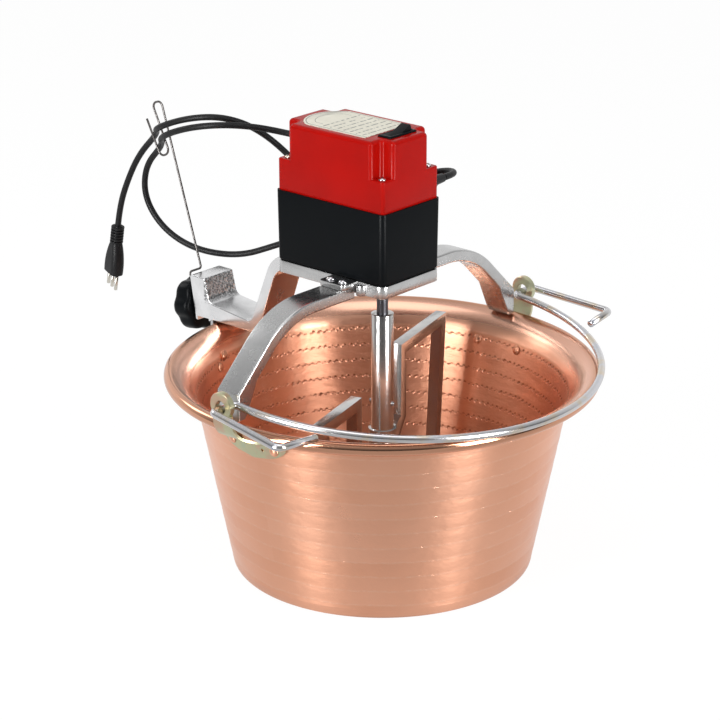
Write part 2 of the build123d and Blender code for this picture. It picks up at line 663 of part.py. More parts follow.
# Cable hanger: one bent wire hooked round the clamp's screw, with a hook for the cord on top
wire_plane = Plane(origin=face_point + knob_axis * (KNOB_GAP / 2), x_dir=(-1, 0, 0), z_dir=knob_axis)
eye_r = CLAMP_SCREW_R + WIRE_R + 0.6
top_v = (BLOCK_TOP_Z - KNOB_CENTRE_Z) / cos(lean) + 2.4
hanger_points = [
    wire_plane.from_local_coords(Vector(x, y, 0))
    for x, y in (
        (-eye_r, eye_r + 3),
        (-eye_r, -eye_r),
        (eye_r, -eye_r),
        (eye_r, eye_r),
        (CLAMP_HALF - 1, top_v),
        (-HANGER_X, top_v),
    )
]
hanger_points += [Vector(HANGER_X, y, z) for y, z in HOOK_POINTS]
with BuildPart() as cable_hanger:
    with BuildLine() as hanger_path:
        FilletPolyline(*hanger_points, radius=HANGER_RADII)
    with BuildSketch(Plane(origin=hanger_path.line @ 0, z_dir=hanger_path.line % 0)):
        Circle(WIRE_R)
    sweep()
save(cable_hanger, "cable_hanger")

# Gearbox case: an open moulded box with screw towers, posts for the gear plate and axle seats
case_floor_z = CASE_BOTTOM_Z + CASE_WALL
with BuildPart() as gearbox_case:
    with BuildSketch(Plane.XY.offset(CASE_BOTTOM_Z)):
        with Locations((0, UNIT_SET_Y)):
            RectangleRounded(UNIT_WIDTH - 2 * CASE_DRAFT, UNIT_LENGTH - 2 * CASE_DRAFT, CASE_CORNER_R)
    with BuildSketch(Plane.XY.offset(SEAM_Z)):
        with Locations((0, UNIT_SET_Y)):
            RectangleRounded(UNIT_WIDTH, UNIT_LENGTH, CASE_CORNER_R)
    loft()
    fillet(faces().sort_by(Axis.Z)[0].outer_wire().edges(), 3)
    with BuildSketch(Plane.XY.offset(case_floor_z)):
        with Locations((0, UNIT_SET_Y)):
            RectangleRounded(
                UNIT_WIDTH - 2 * (CASE_DRAFT + CASE_WALL),
                UNIT_LENGTH - 2 * (CASE_DRAFT + CASE_WALL),
                CASE_CORNER_R - CASE_WALL,
            )
    extrude(amount=CASE_HEIGHT, mode=Mode.SUBTRACT)
    with BuildSketch(Plane.XY.offset(case_floor_z)):
        with Locations((0, UNIT_SET_Y)):
            with GridLocations(2 * screw_x, 2 * screw_y, 2, 2):
                Circle(TOWER_R)
    extrude(amount=SEAM_Z - case_floor_z)
    with BuildSketch(Plane.XY.offset(case_floor_z)):
        with Locations((0, UNIT_SET_Y)):
            with GridLocations(2 * POST_X, POST_SPREAD, 2, 2):
                Circle(POST_R)
    extrude(amount=GEAR_PLATE_Z - case_floor_z)
    with Locations((0, UNIT_SET_Y, SEAM_Z)):
        with GridLocations(2 * screw_x, 2 * screw_y, 2, 2):
            Cylinder(SCREW_R + SEAT_PLAY, 2 * SCREW_BITE, mode=Mode.SUBTRACT)
    with Locations((0, UNIT_SET_Y, CASE_BOTTOM_Z)):
        with GridLocations(2 * screw_x, 2 * screw_y, 2, 2):
            Cylinder(PLATE_SCREW_R + SEAT_PLAY, 2 * PLATE_SCREW_BITE, mode=Mode.SUBTRACT)
    with Locations((0, 0, CASE_BOTTOM_Z)):
        Cylinder(BUSH_R + SEAT_PLAY, 4 * CASE_WALL, mode=Mode.SUBTRACT)
        with Locations((0, CENTRE_DISTANCE, 0), (0, 2 * CENTRE_DISTANCE, 0)):
            Cylinder(AXLE_R + SEAT_PLAY, 4 * CASE_WALL, mode=Mode.SUBTRACT)
save(gearbox_case, "gearbox_case")

with BuildPart() as plate_screws:
    with Locations((0, UNIT_SET_Y, PLATE_BOTTOM_Z)):
        with GridLocations(2 * screw_x, 2 * screw_y, 2, 2):
            Cylinder(PLATE_SCREW_R + 2, PLATE_SCREW_R, align=(Align.CENTER, Align.CENTER, Align.MAX))
            Cylinder(
                PLATE_SCREW_R,
                PLATE_THICK + PLATE_SCREW_BITE - 0.5,
                align=(Align.CENTER, Align.CENTER, Align.MIN),
            )
save(plate_screws, "plate_screws")

# Motor cover: a moulded cap with a square notch at each corner that lets its screw sit low
cover_w = UNIT_WIDTH - 2 * COVER_INSET
cover_l = UNIT_LENGTH - 2 * COVER_INSET


def cover_outline(inset):
    """The cover's plan above the ledges, a wall's thickness or nothing inside the outer faces."""
    with Locations((0, UNIT_SET_Y)):
        Rectangle(cover_w - 2 * inset, cover_l - 2 * inset)
        with GridLocations(cover_w, cover_l, 2, 2):
            Rectangle(2 * (NOTCH + inset), 2 * (NOTCH + inset), mode=Mode.SUBTRACT)
    fillet(vertices(), COVER_CORNER_R - inset / 2)


with BuildPart() as motor_cover:
    with BuildSketch(Plane.XY.offset(SEAM_Z)):
        with Locations((0, UNIT_SET_Y)):
            RectangleRounded(cover_w, cover_l, COVER_CORNER_R)
    extrude(amount=LEDGE_RISE)
    fillet(faces().sort_by(Axis.Z)[-1].outer_wire().edges(), 1.5)
    with BuildSketch(Plane.XY.offset(LEDGE_Z - 3)):
        cover_outline(0)
    extrude(amount=TOP_Z - LEDGE_Z + 3)
    fillet(faces().sort_by(Axis.Z)[-1].outer_wire().edges(), COVER_EDGE_R)
    with BuildSketch(Plane.XY.offset(SEAM_Z)):
        with Locations((0, UNIT_SET_Y)):
            RectangleRounded(cover_w - 2 * COVER_WALL, cover_l - 2 * COVER_WALL, COVER_CORNER_R - 2)
    extrude(amount=LEDGE_RISE - COVER_WALL, mode=Mode.SUBTRACT)
    with BuildSketch(Plane.XY.offset(SEAM_Z)):
        cover_outline(COVER_WALL)
    extrude(amount=COVER_HEIGHT - COVER_WALL, mode=Mode.SUBTRACT)
    with BuildSketch(Plane.XY.offset(SEAM_Z)):
        with Locations((0, UNIT_SET_Y)):
            with GridLocations(2 * screw_x, 2 * screw_y, 2, 2):
                Circle(COVER_TOWER_R)
    extrude(amount=LEDGE_RISE - 1)
    with Locations((0, UNIT_SET_Y, SEAM_Z)):
        with GridLocations(2 * screw_x, 2 * screw_y, 2, 2):
            Cylinder(SCREW_R + SEAT_PLAY, 3 * LEDGE_RISE, mode=Mode.SUBTRACT)
    with Locations((0, SWITCH_Y, TOP_Z)):
        Box(2 * SWITCH_BODY_HALF + 0.2, SWITCH_BODY_WIDE + 0.2, 4 * COVER_WALL, mode=Mode.SUBTRACT)
    with Locations(Location((cover_w / 2, GLAND_Y, GLAND_Z), (0, 90, 0))):
        Cylinder(GLAND_R + SEAT_PLAY, 4 * COVER_WALL, mode=Mode.SUBTRACT)
save(motor_cover, "motor_cover")

with BuildPart() as cover_screws:
    with Locations((0, UNIT_SET_Y, LEDGE_Z)):
        with GridLocations(2 * screw_x, 2 * screw_y, 2, 2):
            Cylinder(SCREW_HEAD_R, SCREW_HEAD_H, align=(Align.CENTER, Align.CENTER, Align.MIN))
            Cylinder(
                SCREW_R,
                LEDGE_RISE + SCREW_BITE - 0.5,
                align=(Align.CENTER, Align.CENTER, Align.MAX),
            )
save(cover_screws, "cover_screws")

with BuildPart() as label_plate:
    with BuildSketch(Plane.XY.offset(TOP_Z)):
        with BuildLine():
            Polyline(
                (-LABEL_HALF, LABEL_SHOULDER_Y),
                (-LABEL_HALF, LABEL_START_Y),
                (LABEL_HALF, LABEL_START_Y),
                (LABEL_HALF, LABEL_SHOULDER_Y),
            )
            ThreePointArc(
                (LABEL_HALF, LABEL_SHOULDER_Y),
                (0, LABEL_END_Y),
                (-LABEL_HALF, LABEL_SHOULDER_Y),
            )
        make_face()
    extrude(amount=LABEL_THICK)
save(label_plate, "label_plate")

# Rocker switch: a snap-in body with a bezel, and the rocker on its own pin
rocker_z = TOP_Z - 1
with BuildPart() as switch_body:
    with Locations((0, SWITCH_Y, TOP_Z)):
        Box(BEZEL_LENGTH, BEZEL_WIDTH, BEZEL_RISE, align=(Align.CENTER, Align.CENTER, Align.MIN))
        chamfer(edges().group_by(Axis.Z)[-1], 1)
        Box(
            2 * SWITCH_BODY_HALF,
            SWITCH_BODY_WIDE,
            SWITCH_DEPTH,
            align=(Align.CENTER, Align.CENTER, Align.MAX),
        )
    with Locations((0, SWITCH_Y, rocker_z - ROCKER_ROOM)):
        Box(
            ROCKER_LENGTH + 2 * ROCKER_PLAY + 0.2,
            ROCKER_WIDTH + 2 * ROCKER_PLAY,
            4 * ROCKER_ROOM,
            align=(Align.CENTER, Align.CENTER, Align.MIN),
            mode=Mode.SUBTRACT,
        )
    with Locations(Location((0, SWITCH_Y, rocker_z), (90, 0, 0))):
        Cylinder(ROCKER_PIN_R + RUN_GAP, ROCKER_PIN_LENGTH + 2 * RUN_GAP, mode=Mode.SUBTRACT)
save(switch_body, "switch_body")

rocker_plane = Plane(
    origin=(0, SWITCH_Y, rocker_z),
    x_dir=(cos(radians(ROCKER_SWING)), 0, sin(radians(ROCKER_SWING))),
    z_dir=(0, -1, 0),
)
half_rocker = ROCKER_LENGTH / 2
with BuildPart() as switch_rocker:
    with BuildSketch(rocker_plane):
        with BuildLine():
            Polyline(
                (-half_rocker, -3),
                (0, -4.5),
                (half_rocker, -3),
                (half_rocker - 1.2, 6.2),
                (0, 3.0),
                (-half_rocker + 1.2, 6.2),
                close=True,
            )
        make_face()
    extrude(amount=ROCKER_WIDTH / 2, both=True)
    with Locations(Location((0, SWITCH_Y, rocker_z), (90, 0, 0))):
        Cylinder(ROCKER_PIN_R, ROCKER_PIN_LENGTH)
save(switch_rocker, "switch_rocker")

# Cable gland with its tapered relief
gland_face = cover_w / 2
with BuildPart() as cable_gland:
    with BuildSketch(Plane(origin=(gland_face, GLAND_Y, GLAND_Z), x_dir=(1, 0, 0), z_dir=(0, -1, 0))):
        with BuildLine():
            Polyline(
                (-COVER_WALL, 0),
                (-COVER_WALL, GLAND_R),
                (seat, GLAND_R),
                (seat, GLAND_R + 2.5),
                (2.5, GLAND_R + 2.5),
                (3.5, GLAND_R + 0.4),
                (GLAND_REACH, CORD_R + 1),
                (GLAND_REACH, 0),
                close=True,
            )
        make_face()
    revolve(axis=Axis((gland_face, GLAND_Y, GLAND_Z), (1, 0, 0)))
save(cable_gland, "cable_gland")


def gear_points(teeth, phase):
    """The corners of a gear's outline: root, pitch and tip of each flank, by the involute."""
    pitch_r = GEAR_MODULE * teeth / 2
    base_r = pitch_r * cos(PRESSURE_ANGLE)
    root_r = pitch_r - 1.15 * GEAR_MODULE
    tip_r = pitch_r + 0.9 * GEAR_MODULE
    half_pitch_angle = (pi * GEAR_MODULE / 2 - GEAR_BACKLASH) / 2 / pitch_r

    def half_angle(radius):
        pressure = acos(min(1.0, base_r / radius))
        grown = tan(pressure) - pressure
        return half_pitch_angle + tan(PRESSURE_ANGLE) - PRESSURE_ANGLE - grown

    flank = [(r, half_angle(max(r, base_r))) for r in (root_r, pitch_r, tip_r)]
    corners = []
    for tooth in range(teeth):
        centre = radians(phase) + 2 * pi * tooth / teeth
        for radius, half in flank:
            corners.append((radius * cos(centre - half), radius * sin(centre - half)))
        for radius, half in reversed(flank):
            corners.append((radius * cos(centre + half), radius * sin(centre + half)))
    return corners


def gear_outline(teeth, y, phase):
    """A spur gear's outline, centred at a distance along Y, for a sketch."""
    with Locations((0, y)):
        Polygon(*gear_points(teeth, phase), align=None)


# Gear train: each wheel has a tooth and each pinion a gap on the line of centres
wheel_phase = 90.0
pinion_phase = 90.0 + 180.0 / PINION_TEETH
low, middle, high = GEAR_LEVELS
with BuildPart() as output_wheel:
    with BuildSketch(Plane.XY.offset(low)):
        gear_outline(WHEEL_TEETH, 0, wheel_phase)
    extrude(amount=GEAR_WIDTH)
    with Locations((0, 0, BUSH_TOP_Z + 0.3)):
        Cylinder(BUSH_R, low - BUSH_TOP_Z, align=(Align.CENTER, Align.CENTER, Align.MIN))
    with Locations((0, 0, low)):
        Cylinder(SHAFT_R, 6 * GEAR_WIDTH, mode=Mode.SUBTRACT)
save(output_wheel, "output_wheel")

for name, y, pinion_z, wheel_z in (
    ("second_gear", CENTRE_DISTANCE, low, middle),
    ("first_gear", 2 * CENTRE_DISTANCE, middle, high),
):
    with BuildPart() as compound:
        with BuildSketch(Plane.XY.offset(pinion_z - 1.5)):
            gear_outline(PINION_TEETH, y, pinion_phase)
        extrude(amount=wheel_z - pinion_z + 1.5)
        with BuildSketch(Plane.XY.offset(wheel_z)):
            gear_outline(WHEEL_TEETH, y, wheel_phase)
        extrude(amount=GEAR_WIDTH)
        with Locations((0, y, wheel_z)):
            Cylinder(AXLE_R + RUN_GAP, 10 * GEAR_WIDTH, mode=Mode.SUBTRACT)
    save(compound, name)

with BuildPart() as gear_axles:
    for y, top in (
        (CENTRE_DISTANCE, middle + GEAR_WIDTH + 2),
        (2 * CENTRE_DISTANCE, GEAR_PLATE_Z + GEAR_PLATE_THICK),
    ):
        with Locations((0, y, CASE_BOTTOM_Z)):
            Cylinder(AXLE_R, top - CASE_BOTTOM_Z, align=(Align.CENTER, Align.CENTER, Align.MIN))
    for y, bottom, top in (
        (CENTRE_DISTANCE, case_floor_z, low - 1.8),
        (2 * CENTRE_DISTANCE, case_floor_z, middle - 1.8),
    ):
        with Locations((0, y, bottom)):
            Cylinder(AXLE_R + 2, top - bottom, align=(Align.CENTER, Align.CENTER, Align.MIN))
save(gear_axles, "gear_axles")

with BuildPart() as gear_plate:
    with BuildSketch(Plane.XY.offset(GEAR_PLATE_Z)):
        with Locations((0, UNIT_SET_Y)):
            RectangleRounded(2 * (POST_X + POST_R), POST_SPREAD + 2 * POST_R + 24, 6)
        with Locations((0, CENTRE_DISTANCE)):
            Circle(MOTOR_SHAFT_R + 2.5, mode=Mode.SUBTRACT)
        with Locations((0, 2 * CENTRE_DISTANCE)):
            Circle(AXLE_R + SEAT_PLAY, mode=Mode.SUBTRACT)
    extrude(amount=GEAR_PLATE_THICK)
save(gear_plate, "gear_plate")

with BuildPart() as output_bush:
    with Locations((0, 0, PLATE_BOTTOM_Z)):
        Cylinder(BUSH_R, BUSH_TOP_Z - PLATE_BOTTOM_Z, align=(Align.CENTER, Align.CENTER, Align.MIN))
    with Locations((0, 0, case_floor_z)):
        Cylinder(BUSH_R + 3, BUSH_TOP_Z - case_floor_z, align=(Align.CENTER, Align.CENTER, Align.MIN))
    with Locations((0, 0, PLATE_BOTTOM_Z)):
        Cylinder(SHAFT_R + RUN_GAP, 4 * PLATE_THICK, mode=Mode.SUBTRACT)
save(output_bush, "output_bush")

# Output shaft, its clip under the bush, the stirrer and the cross pin that holds it
with BuildPart() as output_shaft:
    with Locations((0, 0, SHAFT_BOTTOM_Z)):
        Cylinder(
            SHAFT_R,
            low + GEAR_WIDTH + 2 - SHAFT_BOTTOM_Z,
            align=(Align.CENTER, Align.CENTER, Align.MIN),
        )
    stir = radians(STIRRER_ANGLE)
    cross_plane = Plane(origin=(0, 0, PIN_Z), x_dir=(0, 0, 1), z_dir=(sin(stir), -cos(stir), 0))
    with BuildSketch(cross_plane):
        Circle(PIN_R + SEAT_PLAY)
    extrude(amount=2 * SHAFT_R, both=True, mode=Mode.SUBTRACT)
save(output_shaft, "output_shaft")

with BuildPart() as shaft_clip:
    with BuildSketch(Plane.XY.offset(PLATE_BOTTOM_Z - 0.3)):
        Circle(SHAFT_R + 3)
        Circle(SHAFT_R, mode=Mode.SUBTRACT)
    extrude(amount=-1.5)
save(shaft_clip, "shaft_clip")

stirrer_floor = POT_WALL + STIRRER_FLOOR_GAP
stirrer_plane = Plane(origin=(0, 0, 0), x_dir=(cos(stir), sin(stir), 0), z_dir=(sin(stir), -cos(stir), 0))
with BuildPart() as stirrer:
    with BuildSketch(stirrer_plane):
        for side, top, inner, foot, root in GATES:
            outer_top = side * GATE_TOP_R
            outer_foot = side * GATE_FOOT_R
            bar = side * STIRRER_BAR
            slant = (GATE_TOP_R - GATE_FOOT_R) / (top - stirrer_floor)
            with BuildLine():
                Polyline(
                    (0, stirrer_floor),
                    (outer_foot, stirrer_floor),
                    (outer_top, top),
                    (side * inner, top),
                    (side * inner, foot),
                    (0, root),
                    close=True,
                )
            make_face()
            bottom = stirrer_floor + STIRRER_DEPTH
            lintel = top - STIRRER_BAR
            with BuildLine():
                Polyline(
                    (side * SLEEVE_R, bottom),
                    (outer_foot - bar + side * slant * STIRRER_DEPTH, bottom),
                    (outer_top - bar - side * slant * STIRRER_BAR, lintel),
                    (side * inner + bar, lintel),
                    (side * inner + bar, foot - 5),
                    (side * SLEEVE_R, root - 24),
                    close=True,
                )
            make_face(mode=Mode.SUBTRACT)
    extrude(amount=STIRRER_BAR / 2, both=True)
    with Locations((0, 0, stirrer_floor)):
        Cylinder(HUB_R, HUB_TOP_Z - stirrer_floor, align=(Align.CENTER, Align.CENTER, Align.MIN))
        Cylinder(SLEEVE_R, SLEEVE_TOP_Z - stirrer_floor, align=(Align.CENTER, Align.CENTER, Align.MIN))
    with Locations((0, 0, SHAFT_BOTTOM_Z - 2)):
        Cylinder(
            SHAFT_R + RUN_GAP,
            SLEEVE_TOP_Z,
            align=(Align.CENTER, Align.CENTER, Align.MIN),
            mode=Mode.SUBTRACT,
        )
    with BuildSketch(cross_plane):
        Circle(PIN_R + SEAT_PLAY)
    extrude(amount=2 * SLEEVE_R, both=True, mode=Mode.SUBTRACT)
save(stirrer, "stirrer")

with BuildPart() as stirrer_pin:
    with BuildSketch(cross_plane):
        Circle(PIN_R)
    extrude(amount=SLEEVE_R + 2.5, both=True)
save(stirrer_pin, "stirrer_pin")

# Motor: stator with its coils between two brackets, and the rotor on the pinion's shaft
motor_place = (0, CENTRE_DISTANCE)
with BuildPart() as motor_stator:
    with BuildSketch(Plane.XY.offset(STATOR_Z)):
        with Locations(motor_place):
            Circle(STATOR_R)
            Circle(STATOR_BORE_R, mode=Mode.SUBTRACT)
    extrude(amount=STATOR_HEIGHT)
save(motor_stator, "motor_stator")

with BuildPart() as motor_coils:
    for z in (STATOR_Z - COIL_RISE, STATOR_Z + STATOR_HEIGHT):
        with BuildSketch(Plane.XY.offset(z)):
            with Locations(motor_place):
                Circle(STATOR_R - 5)
                Circle(STATOR_BORE_R + 1, mode=Mode.SUBTRACT)
        extrude(amount=COIL_RISE)
save(motor_coils, "motor_coils")

bracket_low = GEAR_PLATE_Z + GEAR_PLATE_THICK
bracket_high = STATOR_Z + STATOR_HEIGHT + COIL_RISE + 1
with BuildPart() as motor_brackets:
    for z, post_z, post in (
        (bracket_low, bracket_low, STATOR_Z - bracket_low),
        (bracket_high, STATOR_Z + STATOR_HEIGHT, bracket_high - STATOR_Z - STATOR_HEIGHT),
    ):
        with BuildSketch(Plane.XY.offset(z)):
            with Locations(motor_place):
                Circle(STATOR_R)
                Circle(MOTOR_SHAFT_R + RUN_GAP, mode=Mode.SUBTRACT)
        extrude(amount=BRACKET_THICK)
        with BuildSketch(Plane.XY.offset(post_z)):
            with Locations(motor_place):
                with PolarLocations(STATOR_R - 2.2, 4, start_angle=45):
                    Circle(2)
        extrude(amount=post)
save(motor_brackets, "motor_brackets")

with BuildPart() as motor_shaft:
    with BuildSketch(Plane.XY.offset(high - 1)):
        gear_outline(PINION_TEETH, CENTRE_DISTANCE, pinion_phase)
    extrude(amount=PINION_WIDTH)
    with Locations((0, CENTRE_DISTANCE, high)):
        Cylinder(MOTOR_SHAFT_R, MOTOR_TOP_Z - high, align=(Align.CENTER, Align.CENTER, Align.MIN))
save(motor_shaft, "motor_shaft")

with BuildPart() as motor_rotor:
    with BuildSketch(Plane.XY.offset(STATOR_Z + 1)):
        with Locations(motor_place):
            Circle(ROTOR_R)
            Circle(MOTOR_SHAFT_R, mode=Mode.SUBTRACT)
    extrude(amount=STATOR_HEIGHT - 2)
save(motor_rotor, "motor_rotor")

with BuildPart() as terminal_block:
    with Locations((0, TERMINAL_Y, bracket_low)):
        Box(26, 12, 11, align=(Align.CENTER, Align.CENTER, Align.MIN))
    with Locations((0, TERMINAL_Y, bracket_low + 11)):
        with GridLocations(8, 1, 3, 1):
            Cylinder(2, 6, mode=Mode.SUBTRACT)
save(terminal_block, "terminal_block")

# Mains cord, one free length from the gland to the plug, hung twice over the hanger's hook
corners = [Vector(*point) for point in CORD_ROUTE]
runs = [(b - a).length for a, b in zip(corners, corners[1:])]
cord_radii = []
for before, here, after, short, long in zip(corners, corners[1:], corners[2:], runs, runs[1:]):
    turn = radians((here - before).get_angle(after - here))
    cord_radii.append(0.45 * min(short, long) / tan(turn / 2))
with BuildPart() as mains_cord:
    with BuildLine() as cord_path:
        FilletPolyline(*corners, radius=cord_radii)
    with BuildSketch(Plane(origin=cord_path.line @ 0, z_dir=cord_path.line % 0)):
        Circle(CORD_R)
    sweep()
save(mains_cord, "mains_cord")
cord_length = sum(edge.length for edge in cord_path.edges())
print("cord length", round(cord_length), "radii", [round(r) for r in cord_radii])
print("cord volume over section times length", mains_cord.part.volume / (pi * CORD_R**2 * cord_length))

# Plug: a ribbed relief, a moulded body and three round pins in a row
plug_axis = (corners[-1] - corners[-2]).normalized()
plug_plane = Plane(origin=corners[-1], x_dir=PLUG_WIDE_WAY, z_dir=plug_axis)
with BuildPart() as plug_sleeve:
    with BuildSketch(plug_plane):
        Circle(RELIEF_R)
    extrude(amount=PLUG_SLEEVE)
    for rib in range(RELIEF_RIBS):
        with BuildSketch(plug_plane.offset(1.5 + rib * PLUG_SLEEVE / RELIEF_RIBS)):
            Circle(RELIEF_RIB_R)
        extrude(amount=PLUG_SLEEVE / RELIEF_RIBS / 2)
save(plug_sleeve, "plug_sleeve")

with BuildPart() as plug_body:
    for reach, wide, thick in PLUG_SECTIONS:
        with BuildSketch(plug_plane.offset(PLUG_SLEEVE + reach)):
            RectangleRounded(wide, thick, thick / 2.5)
    loft()
save(plug_body, "plug_body")

with BuildPart() as plug_pins:
    with BuildSketch(plug_plane.offset(PLUG_SLEEVE + PLUG_SECTIONS[-1][0])):
        with GridLocations(PIN_PITCH, 1, 3, 1):
            Circle(PLUG_PIN_R)
    extrude(amount=PIN_LENGTH)
    chamfer(faces().sort_by(Axis.Z)[:3].edges(), 0.6)
save(plug_pins, "plug_pins")
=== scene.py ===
import json
from math import atan2, cos, pi, radians, sin, tan

import bmesh
import bpy
from mathutils import Matrix, Vector

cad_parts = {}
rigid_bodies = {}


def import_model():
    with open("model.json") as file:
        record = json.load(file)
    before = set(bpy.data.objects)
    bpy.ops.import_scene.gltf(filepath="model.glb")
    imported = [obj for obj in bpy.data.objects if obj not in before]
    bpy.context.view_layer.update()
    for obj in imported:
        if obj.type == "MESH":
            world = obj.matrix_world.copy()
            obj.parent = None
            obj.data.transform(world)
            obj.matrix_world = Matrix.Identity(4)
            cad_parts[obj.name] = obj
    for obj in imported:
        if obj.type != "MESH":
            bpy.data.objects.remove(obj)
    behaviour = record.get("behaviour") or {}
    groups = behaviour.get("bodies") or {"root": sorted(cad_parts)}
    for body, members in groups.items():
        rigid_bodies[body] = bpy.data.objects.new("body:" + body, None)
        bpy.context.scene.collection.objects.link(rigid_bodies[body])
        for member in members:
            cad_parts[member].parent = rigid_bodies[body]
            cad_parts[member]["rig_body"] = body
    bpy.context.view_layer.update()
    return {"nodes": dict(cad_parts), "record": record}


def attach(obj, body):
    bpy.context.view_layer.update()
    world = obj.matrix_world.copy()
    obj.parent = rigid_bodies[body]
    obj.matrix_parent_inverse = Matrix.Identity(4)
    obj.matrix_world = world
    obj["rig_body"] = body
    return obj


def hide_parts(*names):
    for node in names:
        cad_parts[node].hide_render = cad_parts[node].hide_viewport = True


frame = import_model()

# An electric polenta maker, dressed over its frame. Metres, +Z up, ears along X.
MM = 0.001
AXIS_R = 0.01 * MM           # a turned profile starts and ends this near its axis
MERGE_GAP = 0.002 * MM       # vertices closer than this become one

# Camera: its turn about the pot and its height are the photograph's
CAMERA_TURN = radians(48.92)
CAMERA_RISE = radians(20.30)
CAMERA_PLACE = (-1.9513, -1.7010, 1.1785)
CAMERA_LENS = 130.99
CAMERA_SHIFT = (-0.0311, 0.0058)

# Stage: brightness of the floor and the surround, to the eye and as shiny pieces show them
STAGE_BACK = (0.76, 0.65)    # level direction of its back
FLOOR_GLOW = 0.92            # share of the floor's white that is its own light
FLOOR_SEEN = 1.03
FLOOR_MIRRORED = (0.52, 0.88)
SKY_LIGHT = 0.38
SKY_MIRRORED = (0.07, 0.95)  # on the camera's side and behind
SKY_TOP_MIRRORED = 0.55
LAMPS = (                    # name, place, aim, width, height, watts, and whether it is only mirrored
    ("left", (-2.59, 0.18, 1.20), (0, 0, 0.2), 0.9, 2.2, 56, False),
    ("right", (-0.06, -2.60, 1.10), (0, 0, 0.2), 0.8, 2.1, 50, False),
    ("left strip", (-2.59, 0.18, 0.45), (0, 0, 0.1), 0.7, 0.85, 32, True),
    ("right strip", (-0.06, -2.60, 0.45), (0, 0, 0.1), 0.7, 0.85, 32, True),
    ("above", (-0.1, 0.1, 2.50), (0, 0, 0.2), 1.5, 1.5, 9, False),
    ("behind", (-0.3, 2.6, 1.9), (0, 0, 0.3), 0.9, 0.9, 9, False),
)

# Pot, the same sizes as the copper shell of the frame
RIM_R = 230.0 * MM
POT_HEIGHT = 221.0 * MM
WALL = 2.0 * MM
BASE_R = 159.5 * MM
BASE_CORNER_R = 9.0 * MM
BREAK_R = 199.0 * MM
BREAK_Z = 201.0 * MM
ROLL_R = 6.5 * MM
HAMMER_ROW = 17.5 * MM       # height of one ring of hammer marks
ROW_SWELL = 0.22 * MM        # how far a ring stands out between its edges
COPPER_OUTSIDE = ((0.93, 0.49, 0.33, 1.0), (0.87, 0.43, 0.275, 1.0))
# Inside: the same copper painted darker, as painted shade inside the pot
COPPER_INSIDE_SHADE = ((0.74, 0.37, 0.24, 1.0), (0.66, 0.30, 0.18, 1.0))
# Lip, then rolled rim: the roll painted darker as a painted dark reflection
COPPER_LIP_AND_ROLL_REFLECTION = ((0.83, 0.47, 0.34, 1.0), (0.70, 0.36, 0.23, 1.0))
# Painted shade in the hammer dimples inside
COPPER_DIMPLE_SHADE = (0.20, 0.06, 0.03, 1.0)
# Painted highlight on the raised edges of the hammered rings outside
COPPER_EDGE_HIGHLIGHT = (0.96, 0.64, 0.48, 1.0)
HAMMERED_FROM = (6.0 * MM, 12.0 * MM)      # heights where the marks fade in
HAMMERED_TO = (196.0 * MM, 206.0 * MM)     # and out
HAMMERED_STEPS = 60          # points down the hammered wall
POT_STEPS = 288              # steps of the pot round its axis
HAMMER_MARK = 7.4 * MM       # from one hammer mark to the next
HAMMER_WANDER = 1.6 * MM     # how far a ring drifts up and down

# Ears
EAR_X = 240.0 * MM           # middle plane of the eye
EAR_HALF = 44.0 * MM
EAR_LOW_Z = 177.6 * MM
EAR_TOP_Z = 198.5 * MM
EAR_SHEET = 2.8 * MM
EAR_NECK = (                 # reach, height and half width in mm, and how far it still hugs the wall
    (202.5, 199.6, 37.0, 0.8),
    (207.0, 201.0, 29.0, 0.6),
    (214.0, 203.6, 22.5, 0.35),
    (222.0, 206.8, 18.0, 0.2),
    (229.0, 210.6, 15.0, 0.1),
    (233.6, 215.4, 13.6, 0.0),
    (236.8, 221.6, 13.1, 0.0),
    (238.2, 229.0, 13.0, 0.0),
    (238.4, 236.0, 13.0, 0.0),
)
EAR_CUTS = (                 # name, place across, height and radius in mm, and how long against its width
    ("window", 5.0, 192.5, 2.3, 2.2),
    ("slot", -14.0, 188.0, 1.6, 1.5),
)
EYE_Z = 244.5 * MM
EYE_R = 14.0 * MM
EYE_BORE_R = 6.4 * MM
EYE_BORE_DROP = 1.3 * MM     # the bore's centre lies this much below the eye's
EYE_THICK = 7.0 * MM

# Screws: node, head radius, head rise, shank radius, and whether the head is up
SCREWS = (
    ("cover_screws", 4.1 * MM, 2.6 * MM, 2.0 * MM, True),
    ("arm_bolts", 5.2 * MM, 3.4 * MM, 3.0 * MM, True),
    ("clamp_bolts", 5.2 * MM, 3.4 * MM, 3.0 * MM, False),
)

# Rivets: node, and the thickness of what they hold to the wall
RIVET_SIZES = {"Head radius": 5.2 * MM, "Head rise": 2.4 * MM, "Shank radius": 2.6 * MM}
RIVETS = (
    ("ear_rivets", 3.0 * MM),
    ("wall_rivets", 0.0),
)

# Label
LABEL_HALF = 34.0 * MM
LABEL_ARC_Y = 58.7 * MM      # centre of the label's round end
LABEL_ARC_R = 37.3 * MM
LABEL_LINE_START_Y = 62.0 * MM   # the inner line runs round the end beyond this
LABEL_RULE_START_Y = 2.0 * MM
LABEL_RULE_END_Y = 58.0 * MM
LABEL_RULE_GAP = 9.0 * MM

# Knob
KNOB_R = 31.0 * MM
KNOB_DEEPEN = 1.2            # thickness against the profile below
KNOB_DIP = 2.8 * MM          # how deep the hollows between its lobes are
KNOB_LOBES = 7
KNOB_LEAN = radians(9)
KNOB_FACE = (0, 256.676 * MM, 231.6 * MM)
KNOB_GAP = 3.4 * MM
KNOB_PROFILE = (             # share of the radius, and depth in mm
    (0.0, 0.0), (0.55, 0.0), (0.84, 0.2), (0.93, 0.9), (0.98, 2.4), (1.0, 5.0), (1.0, 13.5),
    (0.985, 16.2), (0.94, 18.0), (0.86, 18.9), (0.80, 19.0), (0.76, 18.6), (0.30, 18.0), (0.0, 18.0),
)

